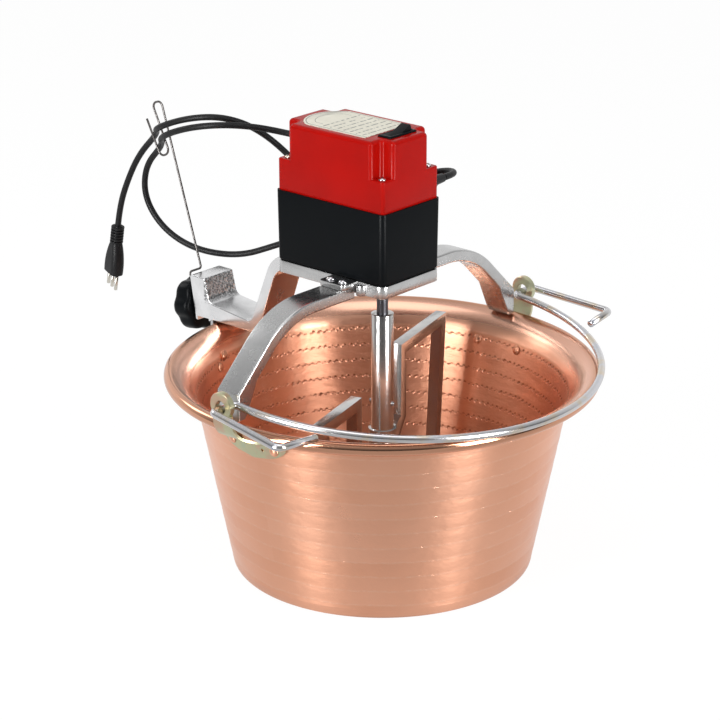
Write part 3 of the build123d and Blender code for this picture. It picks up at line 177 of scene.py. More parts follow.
# Clamp block: where its rough inner face starts and ends, each with its fade
BLOCK_ROUGH_Y = ((229.5 * MM, 231.5 * MM), (240.0 * MM, 241.5 * MM))
BLOCK_ROUGH_Z = (240.0 * MM, 246.0 * MM)

# Cord
CORD_DIAMETER = 7.0 * MM
CORD_ROUTE = (
    (65.5, -28, 416.5),
    (78, -28, 416.5),
    (92, -20, 415),
    (99, -4, 412),
    (98.5, 20, 405),
    (95.5, 55, 390),
    (91, 84, 374),
    (84, 118, 351),
    (76, 152, 326),
    (69, 183, 306),
    (62, 211, 293),
    (45, 251, 276),
    (29, 303, 276),
    (19, 344, 294),
    (15, 370, 327),
    (14, 366, 366),
    (12, 334, 397),
    (-15, 311, 415.5),
    (-18, 268, 433.5),
    (-5, 230, 441.5),
    (26, 209, 437),
    (55, 188, 428),
    (67, 152, 423),
    (71, 112, 418),
    (72.5, 73, 411),
    (74.5, 50, 385),
    (78, 55, 354),
    (81, 84, 337),
    (84, 122, 341),
    (84, 156, 358),
    (80, 186, 381),
    (70, 208, 404),
    (50, 219, 424),
    (24, 226, 440),
    (2, 244, 447),
    (-13, 277, 441),
    (-15, 318, 424),
    (11, 341, 409),
    (14, 376, 377),
    (13, 397, 339),
    (12, 408, 309),
    (12, 412, 287),
)


# Shader building

class Nodes:
    """A node tree that is written one short line to a node."""

    def __init__(self, tree):
        self.tree = tree

    def add(self, kind, settings=None, **inputs):
        node = self.tree.nodes.new(kind)
        for name, value in (settings or {}).items():
            setattr(node, name, value)
        for name, value in inputs.items():
            self.feed(node.inputs[name.replace("_", " ")], value)
        return node

    def feed(self, socket, value):
        if isinstance(value, bpy.types.NodeSocket):
            self.tree.links.new(value, socket)
        else:
            socket.default_value = value

    def maths(self, operation, *values):
        node = self.tree.nodes.new("ShaderNodeMath")
        node.operation = operation
        for socket, value in zip(node.inputs, values):
            self.feed(socket, value)
        return node.outputs[0]

    def noise(self, where, scale, detail=3.0, roughness=0.55):
        node = self.add("ShaderNodeTexNoise", Vector=where, Scale=scale, Detail=detail, Roughness=roughness)
        return node.outputs["Fac"]

    def ramp(self, value, low, high, to_low=0.0, to_high=1.0):
        node = self.tree.nodes.new("ShaderNodeMapRange")
        for socket, number in zip(node.inputs, (value, low, high, to_low, to_high)):
            self.feed(socket, number)
        return node.outputs["Result"]

    def mix(self, share, first, second, blend="MIX"):
        node = self.tree.nodes.new("ShaderNodeMix")
        node.data_type = "RGBA"
        node.blend_type = blend
        self.feed(node.inputs["Factor"], share)
        self.feed(node.inputs[6], first)
        self.feed(node.inputs[7], second)
        return node.outputs[2]

    def between(self, share, first, second):
        """A number part of the way from first to second."""
        return self.ramp(share, 0.0, 1.0, first, second)

    def vector(self, x, y, z):
        node = self.tree.nodes.new("ShaderNodeCombineXYZ")
        for socket, value in zip(node.inputs, (x, y, z)):
            self.feed(socket, value)
        return node.outputs[0]

    def parts(self, vector):
        node = self.tree.nodes.new("ShaderNodeSeparateXYZ")
        self.feed(node.inputs[0], vector)
        return node.outputs


def shader_group(name, inputs, outputs):
    """An empty shader group with named float inputs and outputs, and its node writer."""
    tree = bpy.data.node_groups.new(name, "ShaderNodeTree")
    tree.interface.new_socket("Vector", in_out="INPUT", socket_type="NodeSocketVector")
    for label, value in inputs.items():
        tree.interface.new_socket(label, in_out="INPUT", socket_type="NodeSocketFloat").default_value = value
    for label in outputs:
        tree.interface.new_socket(label, in_out="OUTPUT", socket_type="NodeSocketFloat")
    writer = Nodes(tree)
    start = tree.nodes.new("NodeGroupInput")
    end = tree.nodes.new("NodeGroupOutput")
    return tree, writer, start.outputs, end.inputs


def grain_group():
    """Fine grain and slow patches, as on cast, moulded and plated surfaces."""
    tree, n, given, out = shader_group(
        "Grain and patches",
        {"Grain scale": 900.0, "Patch scale": 25.0, "Patch depth": 0.5},
        ("Grain", "Patches", "Height"),
    )
    grain = n.noise(given["Vector"], given["Grain scale"], 2.0)
    coarse = n.noise(given["Vector"], n.maths("MULTIPLY", given["Grain scale"], 0.22), 3.0)
    patches = n.ramp(n.noise(given["Vector"], given["Patch scale"], 4.0), 0.3, 0.7)
    n.feed(out["Grain"], grain)
    n.feed(out["Patches"], patches)
    height = n.maths("ADD", n.maths("MULTIPLY", grain, 0.4), n.maths("MULTIPLY", coarse, 0.6))
    n.feed(out["Height"], n.maths("MULTIPLY_ADD", patches, given["Patch depth"], height))
    return tree


def hammer_group():
    """Rings of hammer marks round an upright axis: soft rows, ragged row edges and dimples."""
    tree, n, given, out = shader_group(
        "Hammered rings",
        {"Row": HAMMER_ROW, "Mark": HAMMER_MARK, "Wander": HAMMER_WANDER},
        ("Rows", "Edges", "Dimples", "Tone"),
    )
    x, y, z = n.parts(given["Vector"])
    turn = n.maths("MULTIPLY", n.maths("ARCTAN2", y, x), 0.19)
    wander_place = n.vector(n.maths("MULTIPLY", turn, 14.0), 0.0, n.maths("MULTIPLY", z, 30.0))
    drift = n.maths("SUBTRACT", n.noise(wander_place, 1.0, 3.0, 0.6), 0.5)
    wander = n.maths("MULTIPLY", drift, given["Wander"])
    climb = n.maths("DIVIDE", n.maths("ADD", z, n.maths("MULTIPLY", wander, 3.0)), given["Row"])
    row = n.maths("FLOOR", climb)
    along_row = n.maths("FRACT", climb)
    from_edge = n.maths("MULTIPLY", n.maths("ABSOLUTE", n.maths("SUBTRACT", along_row, 0.5)), 2.0)
    n.feed(out["Rows"], n.ramp(from_edge, 0.35, 1.0, 1.0, 0.0))
    ragged_place = n.vector(n.maths("MULTIPLY", turn, 90.0), row, 0.0)
    ragged = n.noise(ragged_place, 1.0, 2.0, 0.7)
    edge = n.ramp(from_edge, 0.80, 1.0)
    n.feed(out["Edges"], n.maths("MULTIPLY", edge, n.ramp(ragged, 0.38, 0.66)))
    step = n.maths("MULTIPLY_ADD", row, 0.37, n.maths("DIVIDE", turn, given["Mark"]))
    jitter = n.maths("MULTIPLY", n.noise(n.vector(n.maths("MULTIPLY", turn, 35.0), row, 3.0), 1.0), 1.2)
    beside = n.maths("ABSOLUTE", n.maths("SUBTRACT", n.maths("FRACT", n.maths("ADD", step, jitter)), 0.5))
    half_row = n.maths("DIVIDE", n.maths("MULTIPLY", given["Row"], 0.5), given["Mark"])
    above = n.maths("MULTIPLY", n.maths("SUBTRACT", 1.0, from_edge), half_row)
    reach = n.maths("SQRT", n.maths("ADD", n.maths("POWER", beside, 2.0), n.maths("POWER", above, 2.0)))
    strength = n.ramp(n.noise(n.vector(n.maths("MULTIPLY", turn, 60.0), row, 9.0), 1.0, 2.0), 0.34, 0.66)
    n.feed(out["Dimples"], n.maths("MULTIPLY", n.ramp(reach, 0.12, 0.32, 1.0, 0.0), strength))
    tone_place = n.vector(n.maths("MULTIPLY", turn, 5.0), n.maths("MULTIPLY", row, 3.7), 0.0)
    n.feed(out["Tone"], n.noise(tone_place, 1.0, 3.0))
    return tree


GRAIN = grain_group()
HAMMER = hammer_group()


def new_material(name, base, roughness, metallic=0.0):
    """A material with its node writer, shader, and object coordinates."""
    material = bpy.data.materials.new(name)
    material.use_nodes = True
    material.node_tree.nodes.clear()
    n = Nodes(material.node_tree)
    shader = n.add("ShaderNodeBsdfPrincipled", Roughness=roughness, Metallic=metallic)
    shader.inputs["Base Color"].default_value = (*base, 1.0)
    end = n.add("ShaderNodeOutputMaterial")
    n.feed(end.inputs["Surface"], shader.outputs[0])
    place = n.add("ShaderNodeTexCoord").outputs["Object"]
    return material, n, shader, place


def grained(name, base, rough, metallic, grain, patch, depth, tint=None, bump=0.3, swell=0.5):
    """A material whose colour and roughness drift in patches over a fine grain.

    rough is the range of roughness, depth the grain's height in millimetres.
    """
    material, n, shader, place = new_material(name, base, rough[0], metallic)
    group = n.add("ShaderNodeGroup", {"node_tree": GRAIN}, Vector=place)
    group.inputs["Grain scale"].default_value = grain
    group.inputs["Patch scale"].default_value = patch
    group.inputs["Patch depth"].default_value = swell
    patches = group.outputs["Patches"]
    second = tint or tuple(channel * 0.86 for channel in base)
    n.feed(shader.inputs["Base Color"], n.mix(patches, (*base, 1.0), (*second, 1.0)))
    blend = n.maths("MULTIPLY_ADD", group.outputs["Grain"], 0.4, n.maths("MULTIPLY", patches, 0.6))
    n.feed(shader.inputs["Roughness"], n.ramp(blend, 0.1, 0.9, rough[0], rough[1]))
    dents = n.add("ShaderNodeBump", Height=group.outputs["Height"], Strength=bump, Distance=depth * MM)
    n.feed(shader.inputs["Normal"], dents.outputs[0])
    return material, n, shader, place


def copper():
    """Hammered copper: faint pinkish rings outside with painted highlights on their edges, dimpled and
    painted darker inside as painted shade, with painted shade in the dimples, plain on the lip with a painted
    dark reflection on the roll.
    """
    material, n, shader, place = new_material("hammered copper", (0.80, 0.42, 0.28), 0.3, 1.0)
    x, y, z = n.parts(place)
    radius = n.maths("SQRT", n.maths("ADD", n.maths("POWER", x, 2.0), n.maths("POWER", y, 2.0)))
    wall = n.maths("MULTIPLY_ADD", z, (BREAK_R - BASE_R) / BREAK_Z, BASE_R - WALL * 0.5)
    outside = n.ramp(n.maths("SUBTRACT", radius, wall), -0.2 * MM, 0.2 * MM)
    hammered = n.maths("MULTIPLY", n.ramp(z, *HAMMERED_FROM), n.ramp(z, *HAMMERED_TO, 1.0, 0.0))
    rings = n.add("ShaderNodeGroup", {"node_tree": HAMMER}, Vector=place)
    fine = n.add("ShaderNodeGroup", {"node_tree": GRAIN}, Vector=place)
    fine.inputs["Grain scale"].default_value = 700.0
    fine.inputs["Patch scale"].default_value = 18.0
    tone = n.ramp(rings.outputs["Tone"], 0.3, 0.7)
    outer = n.mix(tone, *COPPER_OUTSIDE)
    # the inside tones are painted shade
    inner = n.mix(tone, *COPPER_INSIDE_SHADE)
    dimples = n.maths("MULTIPLY", rings.outputs["Dimples"], hammered)
    # painted shade darkens the dimples inside
    inner = n.mix(n.maths("MULTIPLY", dimples, 0.80), inner, COPPER_DIMPLE_SHADE)
    edges = n.maths("MULTIPLY", rings.outputs["Edges"], hammered)
    # painted highlight pales the raised ring edges outside
    outer = n.mix(n.maths("MULTIPLY", edges, 0.45), outer, COPPER_EDGE_HIGHLIGHT)
    colour = n.mix(outside, inner, outer)
    lip = n.ramp(z, BREAK_Z + 1 * MM, BREAK_Z + 12 * MM)
    rough = n.ramp(n.maths("ADD", fine.outputs["Patches"], tone), 0.2, 1.8, 0.27, 0.34)
    roll = n.ramp(radius, RIM_R - 2 * ROLL_R, RIM_R - 8 * MM)
    # the roll's darker tone is a painted dark reflection; inward is the lip's own copper
    rim = n.mix(roll, *COPPER_LIP_AND_ROLL_REFLECTION)
    n.feed(shader.inputs["Base Color"], n.mix(lip, colour, rim))
    rough = n.between(outside, 0.42, rough)
    n.feed(shader.inputs["Roughness"], n.between(lip, rough, n.between(roll, 0.24, 0.13)))
    n.feed(shader.inputs["Anisotropic"], n.between(lip, 0.8, 0.0))
    sunk = n.maths("MULTIPLY", dimples, n.between(outside, 1.0, 0.0))
    raised = n.maths("MULTIPLY", n.maths("MULTIPLY", edges, outside), 0.15)
    rows = n.maths("MULTIPLY", rings.outputs["Rows"], n.maths("MULTIPLY", hammered, 0.10))
    stretched = n.vector(x, y, n.maths("MULTIPLY", z, 2.2))
    facets = n.maths("MULTIPLY", n.noise(stretched, 55.0, 2.0), n.maths("MULTIPLY", hammered, 0.75))
    broad = n.maths("MULTIPLY", n.noise(n.vector(x, y, n.maths("MULTIPLY", z, 0.5)), 14.0, 2.0), 2.2)
    height = n.maths("ADD", n.maths("ADD", n.maths("SUBTRACT", rows, sunk), raised), facets)
    height = n.maths("ADD", height, n.maths("MULTIPLY", broad, hammered))
    height = n.maths("MULTIPLY_ADD", fine.outputs["Height"], 0.04, height)
    dents = n.add("ShaderNodeBump", Height=height, Strength=0.8, Distance=0.8 * MM)
    n.feed(shader.inputs["Normal"], dents.outputs[0])
    shader.inputs["Anisotropic Rotation"].default_value = 0.25
    round_it = n.add("ShaderNodeTangent", {"direction_type": "RADIAL", "axis": "Z"})
    n.feed(shader.inputs["Tangent"], round_it.outputs[0])
    return material


def plated(name, tones, rough):
    """Zinc plating whose passivated film drifts between pale tones."""
    material, n, shader, place = grained(name, tones[0], rough, 1.0, 1400.0, 30.0, 0.05, tones[1], 0.1, 0.1)
    film = n.noise(n.vector(*n.parts(place)), 42.0, 4.0)
    base = shader.inputs["Base Color"].links[0].from_socket
    warm = n.mix(n.ramp(film, 0.50, 0.62), base, (*tones[2], 1.0))
    n.feed(shader.inputs["Base Color"], n.mix(n.ramp(film, 0.30, 0.42, 0.6, 0.0), warm, (*tones[3], 1.0)))
    return material


def clamp_casting():
    """Cast aluminium that is left rough and sparkling on the block's inner face."""
    material, n, shader, place = grained(
        "clamp casting", (0.93, 0.93, 0.94), (0.18, 0.30), 1.0, 520.0, 38.0, 0.30, bump=0.22, swell=0.05
    )
    _, y, z = n.parts(place)
    (near, fade_in), (far, fade_out) = BLOCK_ROUGH_Y
    inner = n.maths("MULTIPLY", n.ramp(y, near, fade_in), n.ramp(y, far, fade_out, 1.0, 0.0))
    inner = n.maths("MULTIPLY", inner, n.ramp(z, *BLOCK_ROUGH_Z))
    sand = n.ramp(n.noise(place, 430.0, 2.0, 0.8), 0.42, 0.56)
    base = shader.inputs["Base Color"].links[0].from_socket
    pits = n.maths("MULTIPLY", n.maths("MULTIPLY", sand, inner), 0.90)
    n.feed(shader.inputs["Base Color"], n.mix(pits, base, (0.16, 0.16, 0.16, 1.0)))
    group = next(node for node in material.node_tree.nodes if node.type == "GROUP")
    dents = next(node for node in material.node_tree.nodes if node.type == "BUMP")
    height = n.maths("MULTIPLY_ADD", n.maths("MULTIPLY", sand, inner), 1.6, group.outputs["Height"])
    n.feed(dents.inputs["Height"], height)
    return material


def label_paper():
    """A bare cream plate with a plain printed border and faint ruled lines."""
    base = (0.80, 0.77, 0.65)
    material, n, shader, place = grained("label plate", base, (0.30, 0.40), 0.0, 900.0, 60.0, 0.02)
    x, y, _ = n.parts(place)
    across = n.maths("ABSOLUTE", x)
    beyond = n.maths("MAXIMUM", n.maths("SUBTRACT", y, LABEL_ARC_Y), 0.0)
    reach = n.maths("SQRT", n.maths("ADD", n.maths("POWER", x, 2.0), n.maths("POWER", beyond, 2.0)))
    side = n.maths("SUBTRACT", across, LABEL_HALF)
    edge = n.maths("MAXIMUM", side, n.maths("SUBTRACT", reach, LABEL_ARC_R))
    border = n.maths("COMPARE", edge, -2.6 * MM, 0.55 * MM)
    inner_line = n.maths("COMPARE", edge, -12.0 * MM, 0.35 * MM)
    inner_line = n.maths("MULTIPLY", inner_line, n.maths("GREATER_THAN", y, LABEL_LINE_START_Y))
    from_first = n.maths("SUBTRACT", y, LABEL_RULE_START_Y)
    rule = n.maths("COMPARE", n.maths("PINGPONG", from_first, LABEL_RULE_GAP / 2), 0.0, 1.0 * MM)
    breaks = n.noise(n.vector(x, n.maths("SNAP", y, LABEL_RULE_GAP), 0.0), 260.0, 1.0)
    breaks = n.ramp(breaks, 0.42, 0.50)
    field = n.maths("LESS_THAN", edge, -6.0 * MM)
    field = n.maths("MULTIPLY", field, n.maths("LESS_THAN", y, LABEL_RULE_END_Y))
    lines = n.maths("MULTIPLY", n.maths("MULTIPLY", rule, breaks), field)
    lines = n.maths("MAXIMUM", lines, n.maths("MAXIMUM", border, inner_line))
    base = shader.inputs["Base Color"].links[0].from_socket
    n.feed(shader.inputs["Base Color"], n.mix(n.maths("MULTIPLY", lines, 0.85), base, (0.12, 0.12, 0.11, 1)))
    shader.inputs["Specular IOR Level"].default_value = 0.25
    return material


def metal(name, base, rough, grain=900.0, patch=30.0, depth=0.12, tint=None, bump=0.3):
    """A bare metal with slow patches and a fine grain."""
    return grained(name, base, rough, 1.0, grain, patch, depth, tint, bump, 0.08)[0]


def plastic(name, base, rough, grain=1100.0, patch=20.0, depth=0.08, coat=0.0, bump=0.25, gloss=0.5):
    """A moulded plastic or rubber, whose gloss is its specular level."""
    material, _, shader, _ = grained(name, base, rough, 0.0, grain, patch, depth, bump=bump)
    shader.inputs["Specular IOR Level"].default_value = gloss
    shader.inputs["Coat Weight"].default_value = coat
    shader.inputs["Coat Roughness"].default_value = 0.08
    return material


FINISH = {
    "copper": copper(),
    "cast_aluminium": metal("cast aluminium", (0.61, 0.61, 0.61), (0.20, 0.34), 520.0, 38.0, 0.30, bump=0.12),
    "clamp_casting": clamp_casting(),
    "stirrer_casting": metal("rough casting", (0.60, 0.59, 0.58), (0.14, 0.26), 420.0, 45.0, 0.30, bump=0.22),
    "zinc": plated(
        "bright zinc",
        ((0.72, 0.71, 0.70), (0.62, 0.62, 0.66), (0.70, 0.62, 0.52), (0.56, 0.60, 0.70)),
        (0.14, 0.26),
    ),
    "zinc_yellow": plated(
        "yellow zinc",
        ((0.66, 0.62, 0.38), (0.54, 0.55, 0.38), (0.66, 0.47, 0.33), (0.46, 0.56, 0.45)),
        (0.24, 0.38),
    ),
    "steel": metal("bright steel", (0.62, 0.62, 0.63), (0.18, 0.30)),
    "dark_steel": metal("oiled steel", (0.10, 0.10, 0.11), (0.26, 0.40)),
    "gear_steel": metal("gear steel", (0.42, 0.42, 0.44), (0.25, 0.4)),
    "red_plastic": plastic("red housing", (0.39, 0.004, 0.002), (0.18, 0.28), coat=0.03, gloss=0.08),
    "black_plastic": plastic(
        "black housing", (0.004, 0.005, 0.006), (0.28, 0.40), 1500.0, 26.0, 0.10, gloss=0.07
    ),
    "black_rubber": plastic(
        "black rubber", (0.010, 0.010, 0.011), (0.38, 0.52), 1300.0, 60.0, 0.06, gloss=0.22
    ),
    "label": label_paper(),
    "brass": metal("pin plating", (0.70, 0.67, 0.60), (0.18, 0.28)),
    "hanger_wire": metal("hanger wire", (0.17, 0.16, 0.155), (0.30, 0.42), bump=0.1),
    "bronze": metal("bush bronze", (0.50, 0.33, 0.15), (0.25, 0.4)),
    "enamelled_copper": metal("winding", (0.45, 0.16, 0.06), (0.3, 0.45)),
}


# Mesh helpers

def link(name, mesh, material, body, slot, *replaced):
    """Put a finished mesh in the scene, on its body and in place of its frame nodes."""
    piece = bpy.data.objects.new(name, mesh)
    bpy.context.scene.collection.objects.link(piece)
    mesh.materials.clear()
    mesh.materials.append(material)
    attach(piece, body)
    if replaced:
        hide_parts(*replaced)
    return piece


def smooth(mesh, angle=32):
    """Smooth shading with sharp edges kept where faces meet at more than an angle."""
    mesh.polygons.foreach_set("use_smooth", [True] * len(mesh.polygons))
    mesh.set_sharp_from_angle(angle=radians(angle))
    mesh.update()


def spun(profile, steps):
    """A closed mesh made by turning (radius, height) points about the Z axis."""
    shape = bmesh.new()
    line = [shape.verts.new((r, 0.0, z)) for r, z in profile]
    edges = [shape.edges.new(pair) for pair in zip(line, line[1:])]
    bmesh.ops.spin(
        shape, geom=line + edges, cent=(0, 0, 0), axis=(0, 0, 1),
        angle=2 * pi, steps=steps, use_duplicate=False,
    )
    bmesh.ops.remove_doubles(shape, verts=shape.verts, dist=1e-6)
    bmesh.ops.recalc_face_normals(shape, faces=shape.faces)
    mesh = bpy.data.meshes.new("spun")
    shape.to_mesh(mesh)
    shape.free()
    return mesh


def arc(centre, radius, start, end, steps):
    """Points of an arc in the (radius, height) plane, angles in degrees."""
    turns = [radians(start + (end - start) * i / steps) for i in range(steps + 1)]
    return [(centre[0] + radius * cos(t), centre[1] + radius * sin(t)) for t in turns]


def through(first, middle, last, steps):
    """Points of a shallow curve through three points."""
    points = []
    for i in range(steps + 1):
        t = i / steps
        control = [2 * m - (a + b) / 2 for a, m, b in zip(first, middle, last)]
        points.append(tuple((1 - t) ** 2 * a + 2 * t * (1 - t) * c + t * t * b
                            for a, c, b in zip(first, control, last)))
    return points


def run(first, last, steps):
    """Evenly spaced points of a straight run, without its two ends."""
    return [tuple(a + (b - a) * i / steps for a, b in zip(first, last)) for i in range(1, steps)]


def hammered_run(first, last):
    """A straight run down or up the wall whose hammered rings swell a little between their edges."""
    points = []
    for r, z in run(first, last, HAMMERED_STEPS):
        sunk = (1 - abs(sin(pi * z / HAMMER_ROW))) * ROW_SWELL
        points.append((r - sunk, z))
    return points


# Geometry Nodes for the screws and rivets

def geometry_tree(name, sizes):
    """An empty tree that takes places, a finish and named sizes, and its node writer."""
    tree = bpy.data.node_groups.new(name, "GeometryNodeTree")
    tree.interface.new_socket("Places", in_out="INPUT", socket_type="NodeSocketGeometry")
    tree.interface.new_socket("Finish", in_out="INPUT", socket_type="NodeSocketMaterial")
    for label, value in sizes.items():
        tree.interface.new_socket(label, in_out="INPUT", socket_type="NodeSocketFloat").default_value = value
    tree.interface.new_socket("Geometry", in_out="OUTPUT", socket_type="NodeSocketGeometry")
    start = tree.nodes.new("NodeGroupInput")
    end = tree.nodes.new("NodeGroupOutput")
    return tree, Nodes(tree), start.outputs, end.inputs[0]


def moved(n, mesh, place=(0, 0, 0), turn=(0, 0, 0), scale=(1, 1, 1)):
    """A mesh moved, turned or stretched."""
    node = n.add("GeometryNodeTransform", Geometry=mesh, Translation=place, Rotation=turn, Scale=scale)
    return node.outputs[0]


def carved(n, operation, first, *others):
    """The union of meshes, or the first with the others cut out of it."""
    node = n.add("GeometryNodeMeshBoolean", {"operation": operation})
    if operation == "DIFFERENCE":
        n.feed(node.inputs[0], first)
    else:
        n.feed(node.inputs[1], first)
    for other in others:
        n.feed(node.inputs[1], other)
    return node.outputs[0]


def dome(n, radius, rise):
    """The upper half of a flattened ball that stands on the level plane."""
    ball = n.add("GeometryNodeMeshUVSphere", Segments=28, Rings=14, Radius=1.0).outputs[0]
    ball = moved(n, ball, scale=n.vector(radius, radius, rise))
    wide = n.maths("MULTIPLY", radius, 3.0)
    size = n.vector(wide, wide, n.maths("MULTIPLY", rise, 2.0))
    below = n.add("GeometryNodeMeshCube", Size=size).outputs[0]
    below = moved(n, below, n.vector(0.0, 0.0, n.maths("MULTIPLY", rise, -1.0)))
    return carved(n, "DIFFERENCE", ball, below)


def shank(n, radius, length):
    """A round bar that hangs from just above the level plane."""
    bar = n.add("GeometryNodeMeshCylinder", Vertices=24, Radius=radius, Depth=length).outputs[0]
    return moved(n, bar, n.vector(0.0, 0.0, n.maths("MULTIPLY_ADD", length, -0.5, 0.3 * MM)))


def set_out(n, given, end, piece):
    """Put a copy of the piece on each place, its Z axis along the place's facing."""
    facing = n.add("GeometryNodeInputNamedAttribute", {"data_type": "FLOAT_VECTOR"}, Name="facing")
    turn = n.add("FunctionNodeAlignRotationToVector", {"axis": "Z"}, Vector=facing.outputs[0]).outputs[0]
    points = n.add("GeometryNodeMeshToPoints", Mesh=given["Places"]).outputs[0]
    copies = n.add("GeometryNodeInstanceOnPoints", Points=points, Instance=piece, Rotation=turn).outputs[0]
    real = n.add("GeometryNodeRealizeInstances", Geometry=copies).outputs[0]
    n.feed(end, n.add("GeometryNodeSetMaterial", Geometry=real, Material=given["Finish"]).outputs[0])


def screw_tree():
    """Round-headed screws with a cross recess."""
    sizes = {"Head radius": 4 * MM, "Head rise": 2.6 * MM, "Shank radius": 2 * MM, "Shank length": 10 * MM}
    tree, n, given, end = geometry_tree("Cross-head screws", sizes)
    radius, rise = given["Head radius"], given["Head rise"]
    head = dome(n, radius, rise)
    arm = n.maths("MULTIPLY", radius, 1.15)
    thin = n.maths("MULTIPLY", radius, 0.26)
    deep = n.maths("MULTIPLY", rise, 1.1)
    top = n.vector(0.0, 0.0, rise)
    bars = []
    for size in ((arm, thin, deep), (thin, arm, deep)):
        bar = n.add("GeometryNodeMeshCube", Size=n.vector(*size)).outputs[0]
        bars.append(moved(n, bar, top))
    head = carved(n, "DIFFERENCE", head, *bars)
    stem = shank(n, given["Shank radius"], given["Shank length"])
    set_out(n, given, end, carved(n, "UNION", head, stem))
    return tree


def rivet_tree():
    """Rivets with a domed head at each end, set out by their outer heads."""
    tree, n, given, end = geometry_tree("Domed rivets", {**RIVET_SIZES, "Grip": 5 * MM})
    head = dome(n, given["Head radius"], given["Head rise"])
    far = moved(n, head, n.vector(0.0, 0.0, n.maths("MULTIPLY", given["Grip"], -1.0)), (pi, 0.0, 0.0))
    bar = shank(n, given["Shank radius"], n.maths("ADD", given["Grip"], 0.6 * MM))
    set_out(n, given, end, carved(n, "UNION", head, bar, far))
    return tree


def solids_of(node):
    """The lowest and highest corner of each separate solid in a frame node."""
    shape = bmesh.new()
    shape.from_mesh(frame["nodes"][node].data)
    bmesh.ops.remove_doubles(shape, verts=shape.verts, dist=MERGE_GAP)
    left = set(shape.verts)
    boxes = []
    while left:
        waiting = [left.pop()]
        found = list(waiting)
        while waiting:
            vert = waiting.pop()
            for near in [edge.other_vert(vert) for edge in vert.link_edges]:
                if near in left:
                    left.remove(near)
                    waiting.append(near)
                    found.append(near)
        low = Vector([min(vert.co[i] for vert in found) for i in range(3)])
        high = Vector([max(vert.co[i] for vert in found) for i in range(3)])
        boxes.append((low, high))
    shape.free()
    return sorted(boxes, key=lambda box: tuple(box[0]))


def grown(node, tree, places, facings, finish, sizes):
    """A plain mesh made by a tree at its places, which stands for a frame node."""
    seeds = bpy.data.meshes.new(node)
    seeds.from_pydata(places, [], [])
    for item, facing in zip(seeds.attributes.new("facing", "FLOAT_VECTOR", "POINT").data, facings):
        item.vector = facing
    holder = bpy.data.objects.new("places", seeds)
    bpy.context.scene.collection.objects.link(holder)
    growth = holder.modifiers.new("growth", "NODES")
    growth.node_group = tree
    sockets = {item.name: item.identifier for item in tree.interface.items_tree if item.in_out == "INPUT"}
    growth[sockets["Finish"]] = FINISH[finish]
    for label, value in sizes.items():
        growth[sockets[label]] = value
    view = bpy.context.evaluated_depsgraph_get()
    mesh = bpy.data.meshes.new_from_object(holder.evaluated_get(view), depsgraph=view)
    bpy.data.objects.remove(holder)
    smooth(mesh, 40)
    body = frame["nodes"][node]["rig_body"]
    return link(f"{node}_grown", mesh, FINISH[finish], body, finish, node)


def screws(node, tree, head, rise, radius, up):
    """Screws in place of a node's, upright or hanging head down."""
    boxes = solids_of(node)
    places = []
    for low, high in boxes:
        level = high.z - rise if up else low.z + rise
        places.append(((low.x + high.x) / 2, (low.y + high.y) / 2, level))
    length = boxes[0][1].z - boxes[0][0].z - rise
    sizes = {"Head radius": head, "Head rise": rise, "Shank radius": radius, "Shank length": length}
    return grown(node, tree, places, [(0, 0, 1 if up else -1)] * len(places), "zinc", sizes)


def rivets(node, tree, held):
    """Rivets square to the wall in place of a node's, through the wall and a plate outside it."""
    lean = atan2(BREAK_R - BASE_R, BREAK_Z)
    grip = WALL + held + 0.3 * MM
    places, facings = [], []
    for low, high in solids_of(node):
        middle = (low + high) / 2
        turn = atan2(middle.y, middle.x)
        facing = Vector((cos(turn) * cos(lean), sin(turn) * cos(lean), -sin(lean)))
        places.append(middle + facing * grip / 2)
        facings.append(facing)
    return grown(node, tree, places, facings, "copper", {**RIVET_SIZES, "Grip": grip})


# Stage

def towards_back(n, coordinates):
    """How far a place or a direction lies towards the back of the stage."""
    x, y, _ = n.parts(n.add("ShaderNodeTexCoord").outputs[coordinates])
    return n.maths("MULTIPLY_ADD", x, STAGE_BACK[0], n.maths("MULTIPLY", y, STAGE_BACK[1]))


